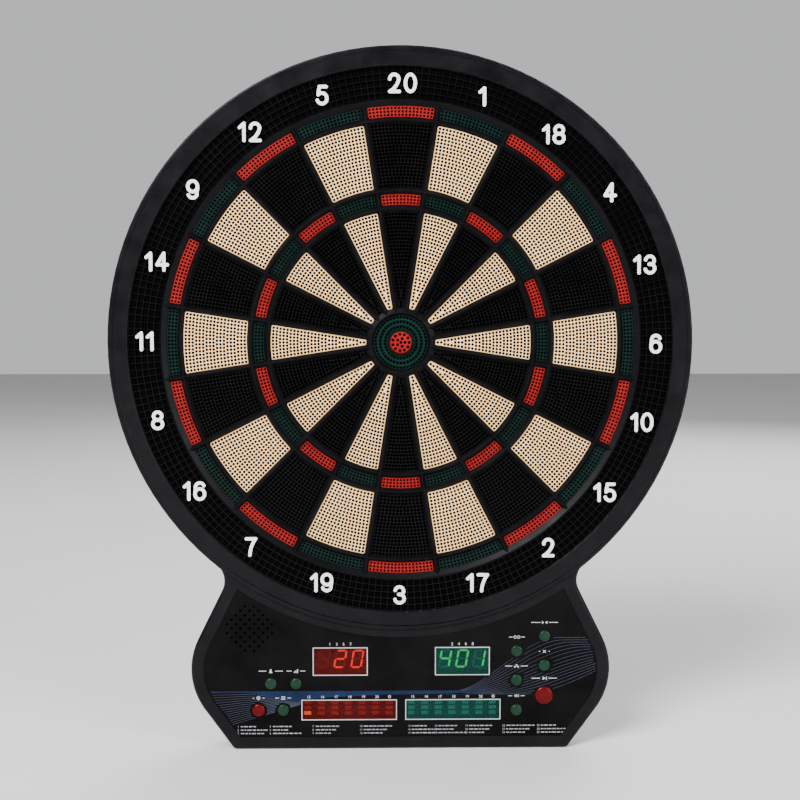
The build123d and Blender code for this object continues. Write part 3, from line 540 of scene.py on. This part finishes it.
def bull_outer():
    """Rings of square cells with a low rib between one ring and the next, the ribs in a painted
    highlight.
    """
    lip, _, front, recess, flange, back = depths("bull_outer")
    outer, lip_foot = widest("bull_outer", front)
    bore = min(widest("bull_outer", lip))
    pit = widest("bull_outer", recess)[0]
    foot = widest("bull_outer", back)[0]
    lip_top = bore + BULL_LIP
    shell = Shell()

    def ring(radius):
        return circle(radius, BULL_SIDES)

    edges = [lip_foot]
    edges += [rib + side * BULL_RIB_HALF for rib in BULL_RIBS for side in (-1, 1)]
    edges += [outer - EDGE_BEVEL]
    for (radius, cells), inner, outside in zip(BULL_CELL_RINGS, edges[::2], edges[1::2]):
        angles = [2 * math.pi * step / cells for step in range(cells)]
        spots = [(radius * math.sin(angle), radius * math.cos(angle), angle) for angle in angles]
        mouths = [cell(BULL_CELL_SIDE + 2 * BULL_CELL_BEVEL, *spot) for spot in spots]
        throats = [cell(BULL_CELL_SIDE, *spot) for spot in spots]
        shell.cap(ring(outside), front, [ring(inner), *mouths])
        for mouth, throat in zip(mouths, throats):
            shell.pocket(mouth, throat, front, HOLE_BEVEL, front + HOLE_DEPTH)
    for rib in BULL_RIBS:
        crest = front - BULL_RIB_RISE
        # The ribs take the painted highlight, the third tone.
        shell.wall(ring(rib), crest, ring(rib + BULL_RIB_HALF), front, 2)
        shell.wall(ring(rib), crest, ring(rib - BULL_RIB_HALF), front, 2, inward=True)
    shell.wall(ring(lip_top), lip, ring(lip_foot), front)
    shell.cap(ring(lip_top), lip, [ring(bore)])
    shell.wall(ring(bore), lip, ring(bore), recess, inward=True)
    shell.cap(ring(pit), recess, [ring(bore)], to_wall=True)
    shell.wall(ring(pit), recess, ring(pit), back, inward=True)
    shell.cap(ring(foot), back, [ring(pit)], to_wall=True)
    shell.wall(ring(foot), flange, ring(foot), back)
    shell.cap(ring(foot), flange, [ring(outer)])
    shell.wall(ring(outer), front + EDGE_BEVEL, ring(outer), flange)
    shell.wall(ring(outer - EDGE_BEVEL), front, ring(outer), front + EDGE_BEVEL)
    mesh = shell.mesh("outer_bull", (GREEN, HOLE_PAINTED_SHADE, RIB_PAINTED_HIGHLIGHT))
    piece("outer_bull", mesh, "outer_bull", "bull_outer")


def bull_inner():
    """A disc with a rounded edge and two rings of holes about a middle one."""
    front, flange, back = depths("bull_inner")
    radius = widest("bull_inner", front)[0]
    foot = widest("bull_inner", back)[0]
    shell = Shell()

    def ring(radius):
        return circle(radius, EYE_SIDES)

    spots = [(0.0, 0.0)]
    for reach, count in EYE_HOLE_RINGS:
        spots += circle(reach, count)
    mouths = [circle(EYE_HOLE_R + EYE_HOLE_BEVEL, EYE_HOLE_SIDES, x, z) for x, z in spots]
    throats = [circle(EYE_HOLE_R, EYE_HOLE_SIDES, x, z) for x, z in spots]
    shell.cap(ring(radius - EYE_CROWN), front, mouths)
    for mouth, throat in zip(mouths, throats):
        shell.pocket(mouth, throat, front, EYE_HOLE_BEVEL, front + HOLE_DEPTH)
    shell.wall(ring(radius - EYE_CROWN), front, ring(radius - EYE_CORNER), front + EYE_CROWN_DROP)
    shell.wall(ring(radius - EYE_CORNER), front + EYE_CROWN_DROP, ring(radius), front + EYE_CROWN)
    shell.wall(ring(radius), front + EYE_CROWN, ring(radius), flange)
    shell.cap(ring(foot), flange, [ring(radius)])
    shell.wall(ring(foot), flange, ring(foot), back)
    shell.cap(ring(foot), back, to_wall=True)
    mesh = shell.mesh("inner_bull", (BULL_RED, HOLE_PAINTED_SHADE))
    piece("inner_bull", mesh, "inner_bull", "bull_inner")


def catch_ring():
    """The ring that catches stray darts: a shallow grid of cells between thin ridges.

    Each cell takes three steps round the ring and three outwards: half a ridge, the open
    cell and half a ridge.
    """
    steps = depths("catch_ring")
    front, lip_front, plate_back = steps[:3]
    lip_back, skirt_back = steps[-2:]
    outer, inner = widest("catch_ring", front)
    lip_out, lip_in = widest("catch_ring", lip_back)
    floor = front + RING_CELL_DEPTH
    side = RING_RIDGE_HALF / ((inner + outer) / 2)
    pitch = (outer - inner) / RING_ROWS
    starts = [2 * math.pi * column / RING_COLUMNS for column in range(RING_COLUMNS)]
    stops = [start + shift for start in starts for shift in (0, side, starts[1] - side)]
    shifts = (0, RING_RIDGE_HALF, pitch - RING_RIDGE_HALF)
    radii = [inner + row * pitch + shift for row in range(RING_ROWS) for shift in shifts]
    radii.append(outer)

    def around(radius):
        return [(radius * math.sin(angle), radius * math.cos(angle)) for angle in reversed(stops)]

    shell = Shell()
    rings = [around(radius) for radius in radii]
    levels = [shell.place(ring, front) for ring in rings]
    for low in range(len(rings) - 1):
        for i in range(len(stops)):
            j = (i + 1) % len(stops)
            if low % 3 == 1 and i % 3 == 0:
                mouth = [rings[low][i], rings[low + 1][i], rings[low + 1][j], rings[low][j]]
                # The cell's sides and floor take the painted shade.
                shell.wall(mouth, front, mouth, floor, 1, inward=True)
                shell.cap(mouth, floor, tone=1)
            else:
                shell.face([levels[low][i], levels[low + 1][i], levels[low + 1][j], levels[low][j]])
    skirt = inner + RING_SKIRT
    profile = ((outer, front), (outer, lip_front), (lip_out, lip_front), (lip_out, lip_back),
               (lip_in, lip_back), (lip_in, plate_back), (skirt, plate_back),
               (skirt, skirt_back), (inner, skirt_back), (inner, front))
    for (radius, depth), (next_radius, next_depth) in zip(profile, profile[1:]):
        shell.wall(around(radius), depth, around(next_radius), next_depth)
    mesh = shell.mesh("catch_ring_grid", (RING, HOLE_PAINTED_SHADE))
    piece("catch_ring_grid", mesh, "case", "catch_ring")


def target():
    target_segments()
    bull_outer()
    bull_inner()
    catch_ring()


# ---------------------------------------------------------------- console
INK = 0.06                  # thickness of the thin blue lines and of the displays' bars
BAND_INK = 0.09             # the blue band lies over the thin lines
WHITE_INK = 0.14            # the white print lies over the blue
FRAME_LINE = 0.62           # white line around a window
DISPLAY_GAP = 0.4           # a display is this much smaller than its window

DIGIT_PITCH = 12.7
DIGIT_LIFT = 1.2            # from the middle of the window up to the middle of its digits
DIGIT_RISE = 6.3            # from the middle of a digit to its top bar
DIGIT_SIDE = 3.6            # from the middle of a digit to its upright bars
DIGIT_SLANT = math.tan(math.radians(10))
BAR_THICK = 1.5
UPRIGHT_GAP = 0.3           # free length at the ends of an upright bar, both together
LEVEL_GAP = 0.9             # free length at the ends of a level bar, both together
BARS = {                    # side and height of each bar, in parts of a digit's half
    "a": (0, 1), "b": (1, 0.5), "c": (1, -0.5), "d": (0, -1), "e": (-1, -0.5), "f": (-1, 0.5),
    "g": (0, 0),
}
LIT_BARS = {" ": "", "0": "abcdef", "1": "bc", "2": "abdeg", "4": "bcfg"}

MARK_PITCH = (10.2, 4.0)
MARK_BAR = (5.2, 2.7)
MARK_SHIFT = (-0.7, 0.8)    # from the middle of the window to the middle mark
MARK_COLUMNS = range(-3, 4)
MARK_ROWS = (-1, 0, 1)
LIT_MARK = ("red", -3, -1)

DOME = (                    # part of the radius and drop, from the middle of a button outwards
    (0.3, 0.0), (0.5, 0.06), (0.68, 0.2), (0.82, 0.42), (0.92, 0.75), (0.98, 1.15), (1.0, 1.6),
)
DOME_SIDES = 64
DOME_SMOOTH = 35            # edges sharper than this many degrees stay sharp
RED_BUTTONS = ("game_button", "start_button")

CAPITAL_PART = 0.69         # height of a capital as a part of the font's size
SIGN_FLANK = 3.2            # from the middle of a sign to the lines beside it
SIGN_LINE = 0.45
DISC_SIDES = 20
HOOP_SIDES = 24
PLAYERS = (("red", "1    3    5    7"), ("green", "2    4    6    8"))
PLAYER_LIFT = 2.5           # from the top of a score window to the middle of its heading
PLAYER_TALL = 2.2
HEADINGS = ("15", "16", "17", "18", "19", "20")
HEADING_LIFT = 2.2
HEADING_TALL = 2.0
HEADING_SHIFT = 0.4
BULL_SIGN_R = 1.1
BULL_SIGN_HOLE_R = 0.65
GAME_ROWS = (-287.3, -290.0, -292.6)
GAME_COLUMNS = (-123.0, -99.0, -67.0, -31.0, 5.0, 25.0, 48.0, 76.0, 102.0)
GAME_TALL = 1.5
GAME_NUMBER = 1.2           # from the left of a column to the middle of its numbers
GAME_NAME = 3.2             # from the left of a column to its row of dashes
DASH_TALL = 0.8
DASH_GAP = 0.7

PANEL_MARGIN = 0.5          # bare edge of the panel around the blue
WINDOW_MARGIN = 0.5
BUTTON_MARGIN = 0.4         # the blue stops this far inside the rim of a button's flange
BUTTON_SIDES = 32
BLUE_TOP = -260.4           # upper edge of the blue band
BLUE_LINE = 0.32
BLUE_COUNT = 15             # lines in each fan
RIGHT_XS = [34 + 2.0 * i for i in range(60)]
RIGHT_START = 36            # the first line of the right fan starts to rise here
RIGHT_START_SHIFT = 54      # and the last line this much further on
RIGHT_STOP = 118            # where the first line is level again
RIGHT_STOP_SHIFT = (55, 42)     # what the last line adds, in proportion and squared
RIGHT_LOW = (1.2, 1.8)      # depth of the first line under the band's top, and what the last adds
RIGHT_HIGH = -220.5         # height of the first line at the right edge
RIGHT_HIGH_DROP = 24.8      # the last line ends this much lower
RIGHT_EDGE = 147.0          # where the right fan has its full height
LEFT_XS = [-148 + 1.0 * i for i in range(74)]
LEFT_MEET = -75.0           # where the left fan meets the red marks window
LEFT_FIRST = 0.8            # depth of the fan's first line under the band's top
LEFT_DEEP = 9.2             # depth of its last line under the first at the meeting place
LEFT_SLOPE = 0.3            # fall of the last line to the left
LEFT_THICKER = 0.34         # the lines grow this much towards the meeting place
LEFT_THICKER_FROM = -125
LEFT_THICKER_OVER = 50
BAND_XS = [-148 + 1.0 * i for i in range(215)]
BAND_KNOTS = (              # x and width of the band, with smooth steps between
    (-148, 0.6), (-120, 0.9), (-76, 8.4), (-74, 6.2), (-45, 4.4), (-10, 3.0), (34, 2.5),
    (52, 1.8), (68, 0.4),
)


def middle(node):
    low, high = box_mm(node)
    return (low.x + high.x) / 2, (low.z + high.z) / 2


def bar(name, x, z):
    """A pointed bar of a seven-segment digit whose middle is at (x, z)."""
    side, level = BARS[name]
    upright = side != 0
    long = DIGIT_RISE - UPRIGHT_GAP if upright else 2 * DIGIT_SIDE - LEVEL_GAP
    half, thick = long / 2, BAR_THICK / 2
    outline = [(-half, 0), (thick - half, -thick), (half - thick, -thick), (half, 0),
               (half - thick, thick), (thick - half, thick)]
    if upright:
        outline = [(-v, u) for u, v in outline]
    placed = [(side * DIGIT_SIDE + u, level * DIGIT_RISE + v) for u, v in outline]
    return [(x + u + v * DIGIT_SLANT, z + v) for u, v in placed]


def display(name, window, node, bars, tones):
    """A display behind its window. Each bar is an outline and whether it is lit."""
    low, high = box_mm(window)
    steps = depths(node)
    front, back = steps[0], steps[-1]
    width, tall = high.x - low.x - DISPLAY_GAP, high.z - low.z - DISPLAY_GAP
    shell = Shell()
    shell.prism(rectangle(width, tall, *middle(window)), front, back)
    for shape, lit in bars:
        shell.prism(shape, front - INK, front, tone=1 if lit else 2)
    piece(name, shell.mesh(name, tones), "case", node)


def displays():
    """Digits and marks behind the tinted windows, some of them lit."""
    # The blocks behind the score windows take a painted glow.
    for side, figures, tones in (("red", " 20", (DISPLAY_RED_PAINTED_GLOW, LIT_RED, DIM_RED)),
                                 ("green", "401", (DISPLAY_GREEN_PAINTED_GLOW, LIT_GREEN, DIM_GREEN))):
        window = f"score_window_{side}"
        x, z = middle(window)
        bars = []
        for place, figure in zip((-1, 0, 1), figures):
            for name in BARS:
                shape = bar(name, x + place * DIGIT_PITCH, z + DIGIT_LIFT)
                bars.append((shape, name in LIT_BARS[figure]))
        display(f"score_display_{side}", window, "score_displays", bars, tones)

    # The blocks and the unlit marks take a painted glow; only the lit mark really shines.
    for side, tones in (("red", (DISPLAY_RED_PAINTED_GLOW, LIT_ORANGE, MARK_RED_PAINTED_GLOW)),
                        ("green", (DISPLAY_GREEN_PAINTED_GLOW, LIT_GREEN, MARK_GREEN_PAINTED_GLOW))):
        window = f"marks_window_{side}"
        x, z = middle(window)
        bars = []
        for column in MARK_COLUMNS:
            for row in MARK_ROWS:
                at_x = x + MARK_SHIFT[0] + column * MARK_PITCH[0]
                at_z = z + MARK_SHIFT[1] + row * MARK_PITCH[1]
                lit = (side, column, row) == LIT_MARK
                bars.append((rectangle(*MARK_BAR, at_x, at_z), lit))
        display(f"marks_display_{side}", window, "marks_displays", bars, tones)


def buttons():
    """Domed keys over the silicone mat."""
    for body in BUTTON_BODIES:
        node = body.removesuffix("_key")
        x, z = middle(node)
        steps = depths(node)
        top, flange_front, flange_back = steps[0], steps[-2], steps[-1]
        low, high = box_mm(node)
        foot = (high.x - low.x) / 2
        radius = max(point[0] for point in cad_loops(node, flange_front)[-1]) - x
        profile = [(radius * part, top + drop) for part, drop in DOME]
        profile += [(radius, flange_front), (foot, flange_front), (foot, flange_back)]
        shell = Shell()
        shell.turned(profile, x, z, DOME_SIDES)
        if node in RED_BUTTONS:
            colour, slot = BUTTON_RED, "button_red"
        else:
            colour, slot = BUTTON_GREEN, "button_green"
        mesh = shell.mesh(f"{node}_dome", (colour,), DOME_SMOOTH)
        piece(f"{node}_dome", mesh, body, node)


def printed(name, lines, words, front, material):
    """One print from a Shell of lines and from words given as (text, x, z, height)."""
    joined = bmesh.new()
    joined.from_mesh(lines.mesh(name, ()))
    for text, x, z, tall in words:
        curve = bpy.data.curves.new("word", "FONT")
        curve.body = text
        curve.size = tall * MM / CAPITAL_PART
        curve.align_x = "CENTER"
        curve.extrude = WHITE_INK / 2 * MM
        curve.resolution_u = 3
        word = bpy.data.objects.new("word", curve)
        bpy.context.scene.collection.objects.link(word)
        bpy.context.view_layer.update()
        shown = word.evaluated_get(bpy.context.evaluated_depsgraph_get())
        flat = bpy.data.meshes.new_from_object(shown)
        bpy.data.objects.remove(word)
        place = Vector((x * MM, (front - WHITE_INK / 2) * MM, (z - tall / 2) * MM))
        flat.transform(Matrix.Translation(place) @ Matrix.Rotation(math.radians(90), 4, "X"))
        joined.from_mesh(flat)
    mesh = bpy.data.meshes.new(name)
    joined.to_mesh(mesh)
    joined.free()
    mesh.materials.append(material)
    piece(name, mesh, "case")


def icons():
    """The small signs above the buttons.

    Each has its shapes as (loop, holes) pairs about the sign's middle, the width of the sign
    with the lines beside it, and its height above the middle of the button.
    """
    def disc(x, z, radius):
        return circle(radius, DISC_SIDES, x, z), ()

    def hoop(x, z, radius, line=0.4):
        hole = circle(radius - line, HOOP_SIDES, x, z)
        return circle(radius, HOOP_SIDES, x, z), (hole,)

    def line(width, tall, x, z):
        return rectangle(width, tall, x, z), ()

    def arrow(x, z, width, tall):
        half = tall / 2
        loop = [(x - width / 2, z - half), (x + width / 2, z), (x - width / 2, z + half)]
        return (loop if area(loop) > 0 else loop[::-1]), ()

    cross = [(0, -0.3), (0.9, -1.2), (1.2, -0.9), (0.3, 0), (1.2, 0.9), (0.9, 1.2), (0, 0.3),
             (-0.9, 1.2), (-1.2, 0.9), (-0.3, 0), (-1.2, -0.9), (-0.9, -1.2)]
    shoulders = [(-1.3, -1.4), (1.3, -1.4), (0.9, -0.2), (-0.9, -0.2)]
    horn = [(-1.5, -0.5), (-0.8, -0.5), (0.1, -1.3), (0.1, 1.3), (-0.8, 0.5), (-1.5, 0.5)]
    person = [disc(0, 0.65, 0.75), (shoulders, ())]
    stairs = [line(0.7, 1.1, -1.2, -0.85), line(0.7, 1.9, 0, -0.45), line(0.7, 2.8, 1.2, 0)]
    ring_and_dot = [hoop(0, 0, 1.4), disc(0, 0, 0.5)]
    three_lines = [line(3.0, 0.45, 0, level) for level in (-1, 0, 1)]
    facing_arrows = [arrow(-1.2, 0, 1.5, 2.2), arrow(1.2, 0, -1.5, 2.2)]
    two_hoops = [hoop(-1.3, 0, 1.15), hoop(1.3, 0, 1.15)]
    three_dots = [disc(0, 0.6, 0.65), disc(-1.2, -0.6, 0.65), disc(1.2, -0.6, 0.65)]
    arrow_and_bar = [arrow(0, 0, 2.2, 2.6), line(0.5, 2.6, 1.7, 0)]
    loud_horn = [(horn, ()), line(0.4, 1.2, 0.9, 0), line(0.4, 2.2, 1.7, 0)]
    return {
        "score_button": (person, 18.0, 9.7),
        "handicap_button": (stairs, 14.0, 9.7),
        "game_button": (ring_and_dot, 9.0, 9.3),
        "option_button": (three_lines, 12.0, 9.3),
        "match_button": (facing_arrows, 20.0, 10.4),
        "double_button": (two_hoops, 12.0, 10.6),
        "miss_button": ([(cross, ())], 8.0, 10.6),
        "team_button": (three_dots, 17.0, 10.8),
        "start_button": (arrow_and_bar, 19.0, 13.2),
        "sound_button": (loud_horn, 12.6, 10.8),
    }


def window_frames():
    """White lines around the four windows, as outlines with their holes."""
    frames = []
    for kind in ("score", "marks"):
        for side in ("red", "green"):
            node = f"{kind}_window_{side}"
            outer = cad_loops(node, depths(node)[0])[0]
            frames.append((outer, (inset(outer, FRAME_LINE),)))
    return frames


def window_top(node):
    """The middle of a window across, and its top."""
    outline = cad_loops(node, depths(node)[0])[0]
    return middle(node)[0], max(z for x, z in outline)


def print_signs(lines, front):
    for node, (shapes, width, above) in icons().items():
        x, z = middle(node)
        z += above
        for loop, holes in shapes:
            placed = [(x + u, z + v) for u, v in loop]
            open_parts = [[(x + u, z + v) for u, v in hole] for hole in holes]
            lines.prism(placed, front - WHITE_INK, front, open_parts)
        flank = width / 2 - SIGN_FLANK
        for side in (-1, 1):
            beside = rectangle(flank, SIGN_LINE, x + side * (SIGN_FLANK + flank / 2), z)
            lines.prism(beside, front - WHITE_INK, front)


def print_headings(lines, front):
    """The words over the windows, as printed() takes them. The bull's sign goes to the lines."""
    words = []
    for side, players in PLAYERS:
        x, top = window_top(f"score_window_{side}")
        words.append((players, x, top + PLAYER_LIFT, PLAYER_TALL))
        x, top = window_top(f"marks_window_{side}")
        z = top + HEADING_LIFT
        for column, heading in zip(MARK_COLUMNS, HEADINGS):
            at_x = x + MARK_PITCH[0] * column + HEADING_SHIFT
            words.append((heading, at_x, z, HEADING_TALL))
        bull = x + MARK_PITCH[0] * MARK_COLUMNS[-1] - HEADING_SHIFT
        hole = circle(BULL_SIGN_HOLE_R, DISC_SIDES, bull, z)
        lines.prism(circle(BULL_SIGN_R, DISC_SIDES, bull, z), front - WHITE_INK, front, (hole,))
    return words


def print_games(front):
    """The numbered list of games, with rows of dashes for the names."""
    dashes = Shell()
    numbers = []
    for column, left in enumerate(GAME_COLUMNS):
        for row, z in enumerate(GAME_ROWS):
            number = len(GAME_ROWS) * column + row + 1
            numbers.append((str(number), left + GAME_NUMBER, z, GAME_TALL))
            at = left + GAME_NAME
            for dash in range(4 + (5 * column + 3 * row) % 4):
                long = 1.4 + 0.6 * ((3 * dash + column + row) % 4)
                shape = rectangle(long, DASH_TALL, at + long / 2, z)
                dashes.prism(shape, front - WHITE_INK, front)
                at += long + DASH_GAP
    printed("print_games", dashes, numbers, front, SMALL_PRINT)


def white_prints():
    """Window lines, signs above the buttons, headings and the list of games."""
    front = depths("fascia_panel")[0]
    window_front = depths("score_window_red")[0]
    lines = Shell()
    for loop, holes in window_frames():
        lines.prism(loop, window_front - WHITE_INK, window_front, holes)
    print_signs(lines, front)
    words = print_headings(lines, front)
    printed("print_white", lines, words, front, PRINT)
    print_games(front)


def inside(point, loop):
    """Whether a point lies in an outline."""
    x, z = point
    hits = 0
    for (ax, az), (bx, bz) in zip(loop, loop[1:] + loop[:1]):
        if (az > z) != (bz > z) and x < ax + (z - az) * (bx - ax) / (bz - az):
            hits += 1
    return hits % 2 == 1


def ease(part):
    """A smooth step from 0 to 1."""
    part = min(1.0, max(0.0, part))
    return part * part * (3 - 2 * part)


def right_line(part):
    """A line of the right fan, from the first at 0 to the last at 1. It rises and levels out."""
    start = RIGHT_START + RIGHT_START_SHIFT * part ** 3
    stop = RIGHT_STOP + RIGHT_STOP_SHIFT[0] * part + RIGHT_STOP_SHIFT[1] * part ** 2
    low = BLUE_TOP - RIGHT_LOW[0] - RIGHT_LOW[1] * part
    high = RIGHT_HIGH - RIGHT_HIGH_DROP * part
    full = ease((RIGHT_EDGE - start) / (stop - start))
    return [(x, low + (high - low) * ease((x - start) / (stop - start)) / full) for x in RIGHT_XS]


def left_line(part):
    """A straight line of the left fan, from the first at 0 to the last at 1."""
    return [(x, BLUE_TOP - LEFT_FIRST - part * (LEFT_DEEP + LEFT_SLOPE * (LEFT_MEET - x)))
            for x in LEFT_XS]


def band_width(x):
    for (left, a), (right, b) in zip(BAND_KNOTS, BAND_KNOTS[1:]):
        if x <= right:
            return a + (b - a) * ease((x - left) / (right - left))
    return BAND_KNOTS[-1][1]


def blue_prints():
    """A band across the panel that fans out into thin lines on both sides."""
    front = depths("fascia_panel")[0]
    panel = inset(cad_loops("fascia_panel", front)[0], PANEL_MARGIN)
    windows = [node for node in NODE_MATERIALS if "window" in node]
    gaps = [inset(cad_loops(node, depths(node)[0])[0], -WINDOW_MARGIN) for node in windows]
    for body in BUTTON_BODIES:
        node = body.removesuffix("_key")
        low, high = box_mm(node)
        radius = (high.x - low.x) / 2 - BUTTON_MARGIN
        gaps.append(circle(radius, BUTTON_SIDES, *middle(node)))

    def free(point):
        return inside(point, panel) and not any(inside(point, gap) for gap in gaps)

    def strip(shell, points, widths, ink):
        """Prints a strip along each run of points that lie on the bare panel."""
        run = []
        for point, width in [*zip(points, widths), (None, 0)]:
            if point and free(point):
                run.append((*point, width))
                continue
            if len(run) > 1:
                low_edge = [(x, z - width / 2) for x, z, width in run]
                high_edge = [(x, z + width / 2) for x, z, width in reversed(run)]
                shell.prism(low_edge + high_edge, front - ink, front)
            run = []

    fans = Shell()
    thicker = [LEFT_THICKER * ease((x - LEFT_THICKER_FROM) / LEFT_THICKER_OVER) for x in LEFT_XS]
    for step in range(BLUE_COUNT):
        part = step / (BLUE_COUNT - 1)
        strip(fans, right_line(part), [BLUE_LINE] * len(RIGHT_XS), INK)
        strip(fans, left_line(part), [BLUE_LINE + more for more in thicker], INK)
    band = Shell()
    widths = [band_width(x) for x in BAND_XS]
    middles = [(x, BLUE_TOP - width / 2) for x, width in zip(BAND_XS, widths)]
    strip(band, middles, widths, BAND_INK)
    piece("print_fans", fans.mesh("print_fans", (BLUE_THIN,)), "case")
    piece("print_band", band.mesh("print_band", (BLUE,)), "case")


def console():
    displays()
    buttons()
    white_prints()
    blue_prints()


dress_cad_nodes()
target()
console()

# ---------------------------------------------------------------- stage, light and camera
CAMERA_PLACE = Vector((-0.0148, -0.926, 0.019))
TILT_DOWN = 3.9
TURN_RIGHT = 0.9
LENS = 55.1
SENSOR = 36
FLOOR_REACH = 6.0
LIGHTS = (                  # name, place, side of the square, and power
    ("key", (-1.3, -1.9, 1.7), 1.2, 172),
    ("fill", (1.9, -1.6, 0.7), 1.2, 60),
    ("back", (0.9, 1.9, 1.3), 1.6, 45),
)
SKY_TONE = (0.80, 0.81, 0.83, 1)
SKY_FADE = (-0.4, 0.6)      # the sky grows from dim to bright between these depths
SKY_DIM = 0.12              # on the player's side
SKY_BRIGHT = 0.75           # behind the board


def stage():
    """A pale floor under the board."""
    mesh = bpy.data.meshes.new("floor")
    corners = rectangle(2 * FLOOR_REACH, 2 * FLOOR_REACH)
    mesh.from_pydata([(x, y, cad_low.z) for x, y in corners], [], [(0, 1, 2, 3)])
    pale = surface("floor_pale", (0.72, 0.72, 0.71), (0.76, 0.76, 0.75), 0.8, tone_scale=2.0)
    mesh.materials.append(pale)
    floor = bpy.data.objects.new("floor", mesh)
    bpy.context.scene.collection.objects.link(floor)


def lamp(name, place, side, power):
    """A square light that points at the middle of the board."""
    data = bpy.data.lights.new(name, "AREA")
    data.size = side
    data.energy = power
    made = bpy.data.objects.new(name, data)
    made.location = place
    made.rotation_euler = (-Vector(place)).to_track_quat("-Z", "Y").to_euler()
    bpy.context.scene.collection.objects.link(made)


def sky():
    """A dim sky on the player's side that grows bright behind the board."""
    world = bpy.data.worlds.new("studio")
    world.use_nodes = True
    tree = world.node_tree
    towards = tree.nodes.new("ShaderNodeTexCoord")
    parts = tree.nodes.new("ShaderNodeSeparateXYZ")
    behind = tree.nodes.new("ShaderNodeMapRange")
    behind.interpolation_type = "SMOOTHSTEP"
    behind.inputs["From Min"].default_value = SKY_FADE[0]
    behind.inputs["From Max"].default_value = SKY_FADE[1]
    behind.inputs["To Min"].default_value = SKY_DIM
    behind.inputs["To Max"].default_value = SKY_BRIGHT
    tree.links.new(towards.outputs["Generated"], parts.inputs["Vector"])
    tree.links.new(parts.outputs["Y"], behind.inputs["Value"])
    background = tree.nodes["Background"]
    tree.links.new(behind.outputs["Result"], background.inputs["Strength"])
    background.inputs["Color"].default_value = SKY_TONE
    bpy.context.scene.world = world


def camera():
    data = bpy.data.cameras.new("camera")
    data.lens = LENS
    data.sensor_width = SENSOR
    made = bpy.data.objects.new("camera", data)
    made.location = CAMERA_PLACE
    made.rotation_euler = (math.radians(90 - TILT_DOWN), 0, math.radians(-TURN_RIGHT))
    bpy.context.scene.collection.objects.link(made)
    bpy.context.scene.camera = made


stage()
for light in LIGHTS:
    lamp(*light)
sky()
camera()
